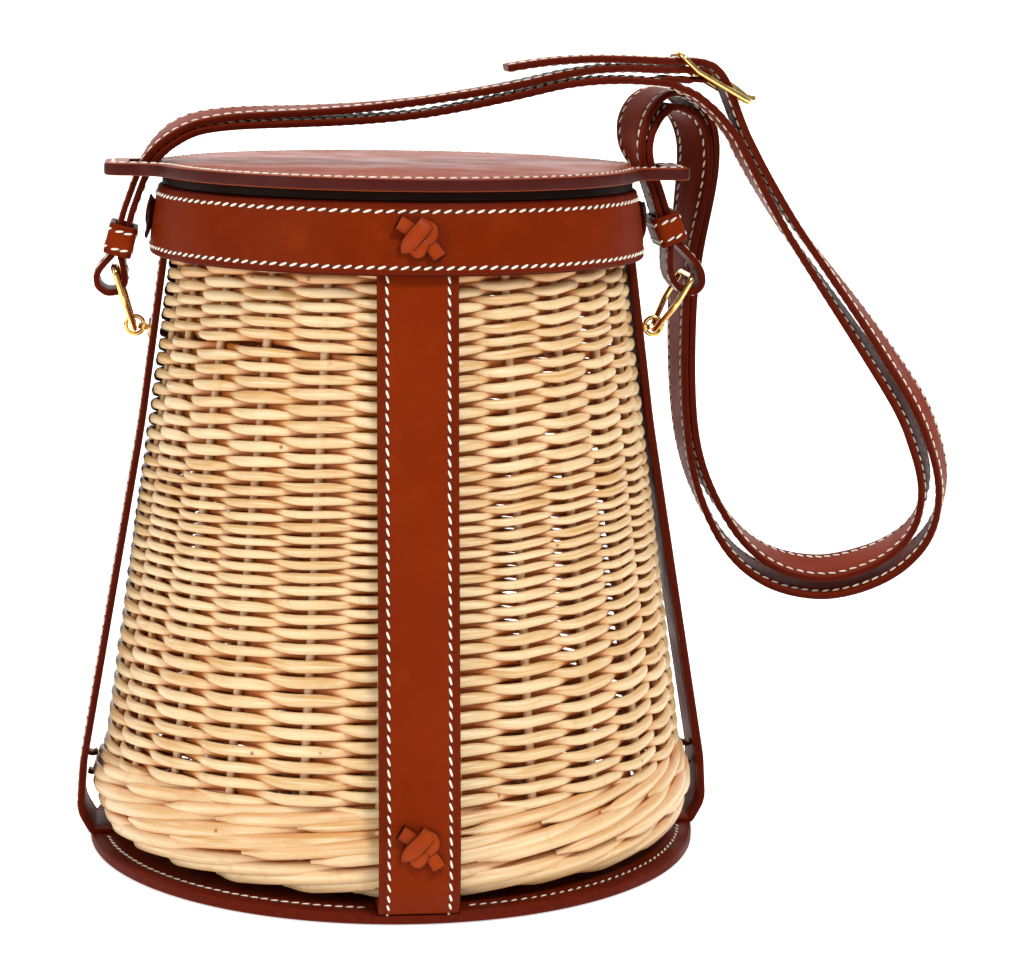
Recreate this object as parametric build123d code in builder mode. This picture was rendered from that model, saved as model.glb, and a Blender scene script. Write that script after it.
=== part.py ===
"""Round willow basket bag in a leather frame, with a lift-off lid and a doubled shoulder strap.

Millimetres, +Z up. The origin is the middle of the base plate's underside.
The front strap faces -Y, and the two strap rings are on -X and +X.
"""

import os
from math import atan2, cos, hypot, radians, sin

from build123d import *

# Base plate and woven basket
BASE_RADIUS = 110.0
BASE_THICKNESS = 4.3
CLEARANCE = 0.3
EDGE_RADIUS = 0.9
BORDER_FOOT_INSET = 13.0
BORDER_BULGE_INSET = 1.0
BORDER_TOP_INSET = 4.6
BASKET_BULGE_HEIGHT = 19.0
BASKET_SIDE_START = 34.0
BASKET_TOP_RADIUS = 78.0
BASKET_TOP = 233.0
BASKET_WALL = 5.0
BASKET_FLOOR = 6.0

# Flat straps down the four sides
FRAME_STRAP_WIDTH = 27.0
FRAME_STRAP_THICKNESS = 2.4
FRAME_STRAP_BELOW_RIM = 3.0
FRAME_STRAP_BEND_BELOW_RIM = 80.0
FRAME_STRAP_BULGE_HEIGHTS = (29.0, 12.0)
FRAME_STRAP_STAND_OFFS = (2.0, 3.2)
FRAME_STRAP_BENDS = (400.0, 40.0, 12.0, 3.4)
FRAME_STRAP_FOOT_INSET = 0.4
FOOT_RECESS = 1.1
FOOT_LENGTH = 15.0

# Collar
COLLAR_BELOW_RIM = 20.7
COLLAR_HEIGHT = 23.9
COLLAR_WALL = 2.7
COLLAR_BULGE = 0.6

# Lid
LID_LIFT_GAP = 0.2
LID_OVERHANG = 1.1
LID_THICKNESS = 4.4
EAR_BEYOND_SLOT = 14.1
EAR_BESIDE_STRAP = 6.0
EAR_ROOT_RADIUS = 14.0
EAR_CORNER_RADIUS = 5.0
LID_RING_THICKNESS = 3.2
LID_RING_INSET = 1.4
LID_LIP_WALL = 2.4
LID_LIP_DEPTH = 9.0

# Shoulder strap
STRAP_WIDTH = 19.0
STRAP_THICKNESS = 2.4
SKIVED_THICKNESS = 1.2
STRAP_LAYER_GAP = 0.4
SLOT_BEYOND_COLLAR = 4.5
SLOT_ROOM = 5.8
SLOT_SIDE_ROOM = 0.8
SLOT_CORNER = 1.5

# Keepers: stitched leather bands round both layers of the strap
KEEPER_HEIGHT = 11.0
KEEPER_WALL = 2.0
KEEPER_CORNER = 2.4
KEEPER_INNER_CORNER = 0.6

# Brass
PIN_PLAY = 0.1
STUD_BELOW_COLLAR = 26.8
STUD_PLATE_RADIUS = 3.4
STUD_PLATE_THICKNESS = 1.0
STUD_EYE_OFFSET = 2.5
STUD_EYE_HEIGHT = 2.0
STUD_SHANK_RADIUS = 1.2
EYE_WALL = 0.75
EYE_PLAY = 0.45
RING_WIRE = 1.6
RING_INNER_RADIUS = 2.4
LINK_WIRE = 2.2
LINK_SIDE_PLAY = 1.0
LINK_STRAIGHT = 12.0
LINK_FOOT_WIDTH = 6.6
LINK_CORNER = 2.6
BUCKLE_WIRE = 2.0
BUCKLE_BAR = 1.8
BUCKLE_KINK = 14.0
BUCKLE_SHORT_LEG = 3.7
BUCKLE_LEG_PER_THICKNESS = 2.2
BUCKLE_LONG_LEG = 21.4
BUCKLE_BAR_ALONG = 3.4
BUCKLE_CORNER = 3.0
BUCKLE_SIDE_PLAY = 1.0
PRONG_WIDTH = 2.2
PRONG_THICKNESS = 1.5
PRONG_ARCH_SHARE = 0.52
PRONG_ARCH_RISE = (0.8, 1.6)
PRONG_TIP_OVER = 3.2
PRONG_TIP_DROP = 0.6

# Laces
LACE_WIDTH = 6.0
LACE_THICKNESS = 1.1
KNOT_THICKNESS = 2.6
COLLAR_KNOT_ABOVE_EDGE = 11.7
FOOT_KNOT_HEIGHT = 27.0
TIE_HEIGHTS = (24.0, 31.0)

# A knot on its seat: place and turn of the two tails and the crossing band, and the two folds
UPPER_TAIL = Location((-5.6, 4.6), 20)
LOWER_TAIL = Location((5.2, -5.2), -35)
LOWER_TAIL_EXTRA = 1.0
CROSSING_BAND = Location((-1.0, 0.0), -38)
CROSSING_BAND_SIZE = (7.0, 14.0)
CROSSING_BAND_CORNER = 2.6
RIGHT_FOLD = [(0.5, 4.8), (6.4, 4.2), (6.2, -1.6), (1.0, -2.0)]
LOWER_FOLD = [(-4.6, -3.0), (3.0, -1.0), (2.0, -7.0), (-2.2, -6.6)]

# Strap ends, left and right: side of the bag, room between keeper and collar knot, keeper's height
# above the collar's lower edge, and its lean from vertical
KEEPERS = {"left": (-1, 2.4, 4.5, 14.7), "right": (1, 1.2, 9.7, 21.0)}
# End loop below each keeper: length, half width, sideways shift of its lowest point
END_LOOPS = {"left": (13.4, 4.9, 0.0), "right": (19.0, 5.2, 1.4)}
# The link's top bar inside its loop: sideways from the keeper's middle line, and below the keeper
LINK_BARS = {"left": (0.1, 4.2), "right": (1.9, 13.2)}
# The loop's outline in shares of its half width and length, from its shoulder to its lowest bend
LOOP_SHOULDER = (0.2, 0.14)
LOOP_BELLY = [(0.86, 0.42), (1.0, 0.66), (0.7, 0.9)]
# From keeper to slot: share of the way, and outward bow of the strap there
LEFT_RISE = [(0.27, 0.43), (0.74, 0.40)]
RIGHT_RISE = [(0.20, 0.03), (0.65, 0.17)]

# Middle line of the doubled strap: x, y, z, twist in degrees, gap between the layers.
# The rows are laid out for these two sizes and follow the real ones.
ROUTE_SLOT_CENTRE = 88.9
ROUTE_LID_TOP = 244.0
LEFT_ROUTE = [
    (-84.8, 0.0, 248.0, 4, 0.4),
    (-78.5, 0.0, 253.6, 8, 0.4),
    (-70.0, -0.5, 257.4, 8, 0.4),
    (-56.0, -1.0, 259.3, 6, 0.9),
    (-35.5, -1.5, 260.2, 4, 1.2),
    (-15.0, -2.2, 261.4, 2, 1.7),
    (6.5, -3.0, 263.7, 0, 2.1),
    (27.0, -4.0, 267.4, 0, 1.6),
    (44.5, -5.0, 271.2, 0, 1.1),
    (57.0, -5.6, 274.2, 0, 1.1),
    (70.0, -6.2, 276.1, 0, 1.6),
    (81.0, -6.8, 276.5, 0, 1.9),
]
RIGHT_ROUTE = [
    (120.0, -7.0, 256.2, 0, 1.2),
    (127.0, -7.0, 243.5, 0, 1.0),
    (141.0, -7.0, 222.0, 6, 1.9),
    (163.5, -7.0, 192.5, 16, 3.2),
    (184.5, -6.0, 163.5, 23, 3.7),
    (193.0, -5.0, 147.5, 25, 4.0),
    (198.2, -3.4, 130.5, 23, 4.0),
    (196.6, -2.0, 115.2, 14, 4.2),
    (189.3, -0.8, 104.6, 2, 4.5),
    (177.0, 0.4, 97.0, -9, 4.7),
    (160.0, 2.2, 92.6, -15, 4.8),
    (143.0, 5.0, 94.8, -14, 4.9),
    (130.0, 8.0, 102.4, -10, 4.6),
    (120.6, 11.2, 114.2, -5, 3.4),
    (113.6, 14.4, 128.5, 0, 1.8),
    (109.6, 16.6, 143.0, 4, 0.6),
    (107.8, 19.0, 160.0, 6, 0.4),
    (107.4, 21.6, 180.0, 8, 0.4),
    (107.8, 22.9, 198.0, 10, 0.4),
    (108.9, 22.6, 215.0, 16, 0.4),
    (110.4, 21.4, 230.0, 24, 0.4),
    (111.3, 20.2, 241.0, 28, 0.5),
    (111.0, 19.0, 251.5, 28, 0.9),
    (108.6, 18.2, 259.6, 24, 1.7),
    (104.0, 16.6, 265.0, 12, 2.4),
    (97.8, 13.4, 267.3, 0, 2.9),
    (92.0, 9.6, 265.8, -14, 2.8),
    (87.6, 6.0, 260.6, -22, 2.5),
    (86.0, 2.8, 253.4, -18, 1.6),
    (87.0, 0.6, 246.6, -6, 0.7),
]
# Where single layers leave the pair at the buckle
INNER_AT_BUCKLE = [(93.0, -7.0, 273.6), (103.5, -7.0, 269.6), (112.0, -7.0, 262.8)]
FOLD_APPROACH = [(90.0, -7.0, 278.3), (98.0, -7.0, 278.4)]
# The tip's rows say where its lower face would be if it had no thickness of its own
TIP_ROUTE = [
    (37.0, -5.0, 275.6),
    (50.0, -5.3, 277.8),
    (66.0, -6.0, 279.2),
    (82.0, -6.8, 279.2),
    (95.0, -7.0, 278.8),
    (103.0, -7.0, 278.9),
    (109.2, -7.0, 277.4),
    (113.4, -7.0, 273.2),
    (116.4, -7.0, 267.0),
    (119.2, -7.0, 260.2),
]
BUCKLE_BAR_CENTRE = (106.4, -7.0, 276.2)
BUCKLE_SLOPE = 29.0
# The thinned tail round the buckle's bar
FOLD_PLAY = 0.2
FOLD_ANGLES = (-100, -60, -20, 20, 60, 100)
TAIL_LENGTHS = (15.0, 9.0, 4.0)
TAIL_RISE = 0.04

SIDE_NAMES = {"front": -90.0, "right": 0.0, "back": 90.0, "left": 180.0}


def radial_plane(angle):
    """Upright plane through the axis: local x runs outward at this angle, local y is up."""
    a = radians(angle)
    return Plane(origin=(0, 0, 0), x_dir=(cos(a), sin(a), 0), z_dir=(sin(a), -cos(a), 0))


def side_radius(height):
    """Outer radius of the weave on its straight part."""
    share = (height - BASKET_SIDE_START) / (BASKET_TOP - BASKET_SIDE_START)
    return border_top_radius + share * (BASKET_TOP_RADIUS - border_top_radius)


def bulge_radius(height):
    """Outer radius of the rounded border at the weave's foot."""
    centre = border_arc.arc_center
    return centre.X + (border_arc.radius**2 - (height - centre.Y) ** 2) ** 0.5


def strap_face(height):
    """Distance of a side strap's outer face from the axis, where it lies on the weave."""
    return side_radius(height) + CLEARANCE + FRAME_STRAP_THICKNESS


def save(piece, name):
    """Label a finished piece and write its STEP file."""
    piece.label = name
    export_step(piece, f"parts/{name}.step")


os.makedirs("parts", exist_ok=True)

foot_floor = BASE_THICKNESS - FOOT_RECESS
basket_foot = foot_floor + FRAME_STRAP_THICKNESS + CLEARANCE
border_foot_radius = BASE_RADIUS - BORDER_FOOT_INSET
border_bulge_radius = BASE_RADIUS - BORDER_BULGE_INSET
border_top_radius = BASE_RADIUS - BORDER_TOP_INSET
border_arc = ThreePointArc(
    (border_foot_radius, basket_foot),
    (border_bulge_radius, BASKET_BULGE_HEIGHT),
    (border_top_radius, BASKET_SIDE_START),
)
strap_half = FRAME_STRAP_WIDTH / 2
collar_bottom = BASKET_TOP - COLLAR_BELOW_RIM
collar_top = collar_bottom + COLLAR_HEIGHT
collar_inner_bottom = hypot(strap_face(collar_bottom), strap_half) + CLEARANCE
collar_inner_top = hypot(strap_face(collar_top), strap_half) + CLEARANCE
collar_outer_bottom = collar_inner_bottom + COLLAR_WALL
collar_outer_top = collar_inner_top + COLLAR_WALL
collar_bulge_radius = (collar_outer_bottom + collar_outer_top) / 2 + COLLAR_BULGE
lid_ring_bottom = collar_top + LID_LIFT_GAP
lid_bottom = lid_ring_bottom + LID_RING_THICKNESS
lid_top = lid_bottom + LID_THICKNESS
lid_radius = collar_outer_top + LID_OVERHANG
slot_centre = collar_outer_top + SLOT_BEYOND_COLLAR
ear_reach = slot_centre + EAR_BEYOND_SLOT
stud_height = collar_bottom - STUD_BELOW_COLLAR

# Base plate: a leather disc with a shallow seat for each strap's foot.
with BuildPart() as base_disc:
    Cylinder(BASE_RADIUS, BASE_THICKNESS, align=(Align.CENTER, Align.CENTER, Align.MIN))
    fillet(base_disc.edges().filter_by(GeomType.CIRCLE), EDGE_RADIUS)
    seat_length = FOOT_LENGTH + 2 * CLEARANCE
    with Locations((0, 0, foot_floor)):
        with PolarLocations(BASE_RADIUS - FOOT_LENGTH + seat_length / 2 - CLEARANCE, 4):
            Box(
                seat_length,
                FRAME_STRAP_WIDTH + 2 * CLEARANCE,
                BASE_THICKNESS,
                align=(Align.CENTER, Align.CENTER, Align.MIN),
                mode=Mode.SUBTRACT,
            )
save(base_disc.part, "base_disc")

# Woven basket: a turned shell with the weave's outer shape, open at the top.
with BuildPart() as basket:
    with BuildSketch(Plane.XZ):
        with BuildLine():
            Line((0, basket_foot), (border_foot_radius, basket_foot))
            add(border_arc)
            Polyline(
                (border_top_radius, BASKET_SIDE_START),
                (BASKET_TOP_RADIUS, BASKET_TOP),
                (BASKET_TOP_RADIUS - BASKET_WALL, BASKET_TOP),
                (border_top_radius - BASKET_WALL, BASKET_SIDE_START),
                (border_foot_radius - BASKET_WALL, basket_foot + BASKET_FLOOR),
                (0, basket_foot + BASKET_FLOOR),
                (0, basket_foot),
            )
        make_face()
    revolve(axis=Axis.Z)
save(basket.part, "basket")

# Four flat straps: on the weave above, standing off it below, with a foot turned in on the base.
frame_strap_top = BASKET_TOP - FRAME_STRAP_BELOW_RIM
bend_height = BASKET_TOP - FRAME_STRAP_BEND_BELOW_RIM
upper_bulge, lower_bulge = (
    (border_bulge_radius + stand_off + FRAME_STRAP_THICKNESS, height)
    for stand_off, height in zip(FRAME_STRAP_STAND_OFFS, FRAME_STRAP_BULGE_HEIGHTS)
)
strap_outer_points = [
    (strap_face(frame_strap_top), frame_strap_top),
    (strap_face(bend_height), bend_height),
    upper_bulge,
    lower_bulge,
    (BASE_RADIUS - FRAME_STRAP_FOOT_INSET, foot_floor),
    (BASE_RADIUS - FOOT_LENGTH, foot_floor),
]
low_slope = atan2(upper_bulge[0] - strap_face(bend_height), bend_height - upper_bulge[1])


def face_plane(angle, height):
    """Plane on a side strap's outer face: local x runs across it, local y up it, z outward."""
    slope = atan2(side_radius(0) - side_radius(100), 100)
    a = radians(angle)
    r = strap_face(height)
    outward = (cos(a) * cos(slope), sin(a) * cos(slope), sin(slope))
    return Plane(origin=(r * cos(a), r * sin(a), height), x_dir=(-sin(a), cos(a), 0), z_dir=outward)


for side, side_angle in SIDE_NAMES.items():
    with BuildPart() as frame_strap:
        with BuildSketch(radial_plane(side_angle)):
            with BuildLine():
                outer = FilletPolyline(*strap_outer_points, radius=list(FRAME_STRAP_BENDS))
                offset(outer, amount=FRAME_STRAP_THICKNESS, side=Side.RIGHT)
            make_face()
        extrude(amount=strap_half, both=True)
        # The left and right straps have a hole for the ring stud's shank.
        if side in KEEPERS:
            with BuildSketch(face_plane(side_angle, stud_height)):
                Circle(STUD_SHANK_RADIUS + PIN_PLAY)
            extrude(amount=-2 * FRAME_STRAP_THICKNESS, mode=Mode.SUBTRACT)
    save(frame_strap.part, f"{side}_strap")

# Collar: a slightly bulged leather band with rounded edges, slit where each lace passes.
collar_knot_height = collar_bottom + COLLAR_KNOT_ABOVE_EDGE
collar_slope = atan2(collar_outer_bottom - collar_outer_top, COLLAR_HEIGHT)


def collar_knot_plane(angle):
    """Plane on the collar's face where a lace is knotted: local y is up the face, z outward."""
    a = radians(angle)
    return Plane(
        origin=(collar_bulge_radius * cos(a), collar_bulge_radius * sin(a), collar_knot_height),
        x_dir=(-sin(a), cos(a), 0),
        z_dir=(cos(a) * cos(collar_slope), sin(a) * cos(collar_slope), sin(collar_slope)),
    )


with BuildPart() as collar:
    with BuildSketch(Plane.XZ):
        with BuildLine():
            ThreePointArc(
                (collar_outer_bottom, collar_bottom),
                (collar_bulge_radius, collar_bottom + COLLAR_HEIGHT / 2),
                (collar_outer_top, collar_top),
            )
            Polyline(
                (collar_outer_top, collar_top),
                (collar_inner_top, collar_top),
                (collar_inner_bottom, collar_bottom),
                (collar_outer_bottom, collar_bottom),
            )
        make_face()
    revolve(axis=Axis.Z)
    fillet(collar.edges().filter_by(GeomType.CIRCLE), EDGE_RADIUS)
    for side_angle in SIDE_NAMES.values():
        with BuildSketch(collar_knot_plane(side_angle)):
            Rectangle(LACE_WIDTH + 2 * CLEARANCE, LACE_THICKNESS + 2 * CLEARANCE)
        extrude(amount=2 * COLLAR_WALL, both=True, mode=Mode.SUBTRACT)
save(collar.part, "collar")


def knot(plane, seat, stem_length):
    """A flat lace tied in an overhand knot: two tails, a crossing band and two folds, with a stem."""
    with BuildPart() as tied:
        with BuildSketch(plane.offset(seat)):
            with Locations(UPPER_TAIL):
                Rectangle(LACE_WIDTH, LACE_WIDTH)
            with Locations(LOWER_TAIL):
                Rectangle(LACE_WIDTH, LACE_WIDTH + LOWER_TAIL_EXTRA)
        extrude(amount=LACE_THICKNESS)
        with BuildSketch(plane.offset(seat)):
            with Locations(CROSSING_BAND):
                RectangleRounded(*CROSSING_BAND_SIZE, CROSSING_BAND_CORNER)
            Polygon(*RIGHT_FOLD, align=None)
            Polygon(*LOWER_FOLD, align=None)
        extrude(amount=KNOT_THICKNESS)
        with BuildSketch(plane.offset(seat)):
            Rectangle(LACE_WIDTH, LACE_THICKNESS)
        extrude(amount=-stem_length)
    return tied.part


for side, side_angle in SIDE_NAMES.items():
    seat_room = CLEARANCE * 2 / 3
    save(knot(collar_knot_plane(side_angle), seat_room, COLLAR_WALL), f"{side}_collar_knot")

# The foot knots lie on the straps' outer faces, which lean there as the long straight run does.
for side in ("front", "back"):
    a = radians(SIDE_NAMES[side])
    seat_radius = upper_bulge[0] + (upper_bulge[1] - FOOT_KNOT_HEIGHT) * sin(low_slope) / 2
    foot_knot_plane = Plane(
        origin=(seat_radius * cos(a), seat_radius * sin(a), FOOT_KNOT_HEIGHT),
        x_dir=(-sin(a), cos(a), 0),
        z_dir=(cos(a) * cos(low_slope / 2), sin(a) * cos(low_slope / 2), sin(low_slope / 2)),
    )
    save(knot(foot_knot_plane, CLEARANCE / 2, CLEARANCE / 3), f"{side}_foot_knot")

# Lace ties that bridge from each side strap to the weave near the foot.
for side in ("left", "right"):
    with BuildPart() as ties:
        for height in TIE_HEIGHTS:
            weave = bulge_radius(height - LACE_THICKNESS) + CLEARANCE
            drop = (height - upper_bulge[1]) * sin(low_slope)
            inner_face = upper_bulge[0] - max(drop, 0) - FRAME_STRAP_THICKNESS - 2 * CLEARANCE
            with BuildSketch(radial_plane(SIDE_NAMES[side])):
                with Locations(((weave + inner_face) / 2, height)):
                    Rectangle(inner_face - weave, LACE_THICKNESS)
            extrude(amount=LACE_WIDTH / 2, both=True)
    save(ties.part, f"{side}_foot_ties")

# Lid: a leather disc with an ear on each side, slotted for the shoulder strap.
with BuildPart() as lid:
    with BuildSketch(Plane.XY.offset(lid_bottom)) as outline:
        Circle(lid_radius)
        Rectangle(2 * ear_reach, STRAP_WIDTH + 2 * EAR_BESIDE_STRAP)
        outer_corners = outline.vertices().filter_by(lambda v: abs(v.X) > ear_reach - 1)
        fillet(outer_corners, EAR_CORNER_RADIUS)
        roots = outline.vertices().filter_by(lambda v: abs(hypot(v.X, v.Y) - lid_radius) < 0.01)
        fillet(roots, EAR_ROOT_RADIUS)
    extrude(amount=LID_THICKNESS)
    fillet(lid.faces().sort_by(Axis.Z)[-1].edges(), EDGE_RADIUS)
    fillet(lid.faces().sort_by(Axis.Z)[0].edges(), EDGE_RADIUS)
    with BuildSketch(Plane.XY.offset(lid_bottom)):
        with Locations((-slot_centre, 0), (slot_centre, 0)):
            slot_along = 2 * STRAP_THICKNESS + STRAP_LAYER_GAP + SLOT_ROOM
            RectangleRounded(slot_along, STRAP_WIDTH + 2 * SLOT_SIDE_ROOM, SLOT_CORNER)
    extrude(amount=LID_THICKNESS, mode=Mode.SUBTRACT)
save(lid.part, "lid")

# Ring under the lid: its flange rests on the collar and its lip drops into the mouth.
lip_radius = BASKET_TOP_RADIUS - BASKET_WALL - 2 * CLEARANCE
lid_ring_radius = collar_outer_top - LID_RING_INSET
with BuildPart() as lid_ring:
    with BuildSketch(Plane.XZ):
        Polygon(
            (lip_radius - LID_LIP_WALL, lid_ring_bottom - LID_LIP_DEPTH),
            (lip_radius, lid_ring_bottom - LID_LIP_DEPTH),
            (lip_radius, lid_ring_bottom),
            (lid_ring_radius, lid_ring_bottom),
            (lid_ring_radius, lid_bottom),
            (lip_radius - LID_LIP_WALL, lid_bottom),
            align=None,
        )
    revolve(axis=Axis.Z)
save(lid_ring.part, "lid_ring")

# Keepers: a leather band round both layers of the strap on each side.
inner_depth = 2 * STRAP_THICKNESS + STRAP_LAYER_GAP + 2 * CLEARANCE
inner_width = STRAP_WIDTH + 2 * CLEARANCE
keeper_depth = inner_depth + 2 * KEEPER_WALL
keeper_planes = {}
for side, (sign, room, rise, lean) in KEEPERS.items():
    keeper_x = sign * (collar_outer_bottom + KNOT_THICKNESS + room + keeper_depth / 2)
    up = Vector(-sign * sin(radians(lean)), 0, cos(radians(lean)))
    # Local z runs up the strap and y across its width.
    keeper_planes[side] = Plane(
        origin=(keeper_x, 0, collar_bottom + rise),
        x_dir=Vector(0, 1, 0).cross(up),
        z_dir=up,
    )
    with BuildPart() as keeper:
        with BuildSketch(keeper_planes[side]):
            RectangleRounded(keeper_depth, inner_width + 2 * KEEPER_WALL, KEEPER_CORNER)
            RectangleRounded(inner_depth, inner_width, KEEPER_INNER_CORNER, mode=Mode.SUBTRACT)
        extrude(amount=KEEPER_HEIGHT / 2, both=True)
    save(keeper.part, f"{side}_keeper")

# Ring stud, ring and trapeze link on each side; the link reaches from the ring into the strap's loop.
link_top_width = STRAP_WIDTH + LINK_WIRE + 2 * LINK_SIDE_PLAY
ring_mean_radius = RING_INNER_RADIUS + RING_WIRE / 2
eye_bore = RING_WIRE / 2 + EYE_PLAY
for side, (bar_shift, bar_drop) in LINK_BARS.items():
    plate_plane = face_plane(SIDE_NAMES[side], stud_height)
    with BuildPart() as stud:
        with BuildSketch(plate_plane):
            Circle(STUD_PLATE_RADIUS)
        extrude(amount=STUD_PLATE_THICKNESS)
        with BuildSketch(plate_plane):
            Circle(STUD_SHANK_RADIUS)
        extrude(amount=-FRAME_STRAP_THICKNESS)
        eye_centre = plate_plane.from_local_coords((0, 0, STUD_EYE_OFFSET))
        eye_plane = Plane(origin=eye_centre, x_dir=plate_plane.x_dir, z_dir=plate_plane.y_dir)
        with BuildSketch(eye_plane):
            Circle(eye_bore + EYE_WALL)
        extrude(amount=STUD_EYE_HEIGHT / 2, both=True)
        with BuildSketch(eye_plane):
            Circle(eye_bore)
        extrude(amount=STUD_EYE_HEIGHT, both=True, mode=Mode.SUBTRACT)
    save(stud.part, f"{side}_ring_stud")

    ring_centre = plate_plane.from_local_coords((0, 0, STUD_EYE_OFFSET + ring_mean_radius))
    with BuildPart() as ring:
        with BuildSketch(Plane(origin=ring_centre, x_dir=(1, 0, 0), z_dir=(0, 0, 1))):
            with Locations((ring_mean_radius, 0)):
                Circle(RING_WIRE / 2)
        revolve(axis=Axis((ring_centre.X, 0, ring_centre.Z), (0, 1, 0)))
    save(ring.part, f"{side}_ring")

    slack = RING_INNER_RADIUS - LINK_WIRE / 2 - CLEARANCE
    link_foot = ring_centre - plate_plane.y_dir * slack
    link_top = keeper_planes[side].from_local_coords((bar_shift, 0, -KEEPER_HEIGHT / 2 - bar_drop))
    link_length = (link_top - link_foot).length
    link_up = (link_top - link_foot).normalized()
    link_plane = Plane(origin=link_foot, x_dir=(0, 1, 0), z_dir=Vector(0, 1, 0).cross(link_up))
    with BuildPart() as link:
        with BuildLine(link_plane) as loop:
            for hand in (1, -1):
                FilletPolyline(
                    (0, 0),
                    (hand * LINK_FOOT_WIDTH / 2, 0),
                    (hand * link_top_width / 2, link_length - LINK_STRAIGHT),
                    (hand * link_top_width / 2, link_length),
                    (0, link_length),
                    radius=[LINK_CORNER, 2 * LINK_CORNER, LINK_CORNER],
                )
        with BuildSketch(Plane(origin=link_foot, x_dir=link_up, z_dir=(0, 1, 0))):
            Circle(LINK_WIRE / 2)
        sweep(path=loop.wires()[0], transition=Transition.RIGHT)
    save(link.part, f"{side}_link")


# Shoulder strap: one long belt, doubled through both links and closed by the buckle.
def smooth(rows, steps):
    """Points on a smooth curve through the rows, with every column blended alike."""
    out = []
    for i in range(len(rows) - 1):
        p0 = rows[max(i - 1, 0)]
        p1 = rows[i]
        p2 = rows[i + 1]
        p3 = rows[min(i + 2, len(rows) - 1)]
        for k in range(steps):
            t = k / steps
            before = -t + 2 * t**2 - t**3
            here = 2 - 5 * t**2 + 3 * t**3
            there = t + 4 * t**2 - 3 * t**3
            after = t**3 - t**2
            columns = zip(p0, p1, p2, p3)
            out.append(tuple((before * a + here * b + there * c + after * d) / 2 for a, b, c, d in columns))
    out.append(tuple(float(v) for v in rows[-1]))
    return out


def frames(rows):
    """Middle, outward normal, width direction and gap at each row of a pair's route."""
    out = []
    for i, row in enumerate(rows):
        before = Vector(*rows[max(i - 1, 0)][:3])
        after = Vector(*rows[min(i + 1, len(rows) - 1)][:3])
        along = (after - before).normalized()
        level = (Vector(0, 1, 0) - along * along.Y).normalized()
        normal = along.cross(level)
        twist = radians(row[3])
        across = level * cos(twist) + normal * sin(twist)
        outward = normal * cos(twist) - level * sin(twist)
        out.append((Vector(*row[:3]), outward, across, row[4]))
    return out


def layer(pair, side):
    """One layer of the pair: places and width directions, on the outer (1) or inner (-1) side."""
    return [
        (place + outward * (side * (STRAP_THICKNESS + gap) / 2), across)
        for place, outward, across, gap in pair
    ]


def end_loop(side):
    """The strap's turn round a link below a keeper, from the layer on +x to the one on -x."""
    length, half_width, shift = END_LOOPS[side]
    start = (STRAP_THICKNESS + STRAP_LAYER_GAP) / 2
    half = [(start, 0.0), (start + LOOP_SHOULDER[0] * half_width, LOOP_SHOULDER[1] * length)]
    half += [(across * half_width, down * length) for across, down in LOOP_BELLY]
    whole = half + [(0.0, length)] + [(-x, s) for x, s in reversed(half)]
    turned = []
    for x, s in smooth(whole, 2):
        local = (x + shift * (s / length) ** 2, 0, -KEEPER_HEIGHT / 2 - s)
        turned.append((keeper_planes[side].from_local_coords(local), Vector(0, 1, 0)))
    return turned


def plain(points):
    """Places on a level-edged single layer."""
    return [(Vector(*p), Vector(0, 1, 0)) for p in smooth(points, 2)]


def placed(rows, lift=0.0):
    """Rows of the route moved with the lid's slots and its top, and lifted by a further amount."""
    spread = slot_centre - ROUTE_SLOT_CENTRE
    rise = lid_top - ROUTE_LID_TOP + lift
    moved = []
    for x, y, z, *rest in rows:
        share = max(-1, min(1, x / ROUTE_SLOT_CENTRE))
        moved.append((x + spread * share, y, z + rise, *rest))
    return moved


def end_rows(side, bows):
    """The pair's run from a keeper's foot through the lid's slot."""
    sign = KEEPERS[side][0]
    plane = keeper_planes[side]
    foot = plane.from_local_coords((0, 0, -KEEPER_HEIGHT / 2))
    head = plane.from_local_coords((0, 0, KEEPER_HEIGHT / 2))
    slot = Vector(sign * slot_centre, 0, lid_bottom + LID_THICKNESS / 2)
    between = [head + (slot - head) * share + Vector(sign * bow, 0, 0) for share, bow in bows]
    places = [foot, head] + between + [slot]
    return [(p.X, p.Y, p.Z, 0, STRAP_LAYER_GAP) for p in places]


left_pair = frames(smooth(end_rows("left", LEFT_RISE) + placed(LEFT_ROUTE), 2))
right_pair = frames(smooth(placed(RIGHT_ROUTE) + end_rows("right", RIGHT_RISE)[::-1], 2))

# Buckle places: the frame's corners run down its slope from the middle bar.
bar = Vector(*placed([BUCKLE_BAR_CENTRE])[0])
slope = radians(BUCKLE_SLOPE)
kink = radians(BUCKLE_SLOPE + BUCKLE_KINK)
frame_half = (STRAP_WIDTH + BUCKLE_WIRE) / 2 + BUCKLE_SIDE_PLAY
down_right = Vector(cos(slope), 0, -sin(slope))
corner_b = bar - down_right * BUCKLE_BAR_ALONG
short_leg = BUCKLE_SHORT_LEG + BUCKLE_LEG_PER_THICKNESS * STRAP_THICKNESS
corner_a = corner_b - Vector(cos(kink), 0, -sin(kink)) * short_leg
corner_c = corner_b + down_right * BUCKLE_LONG_LEG
to_side = Vector(0, frame_half, 0)


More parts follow.
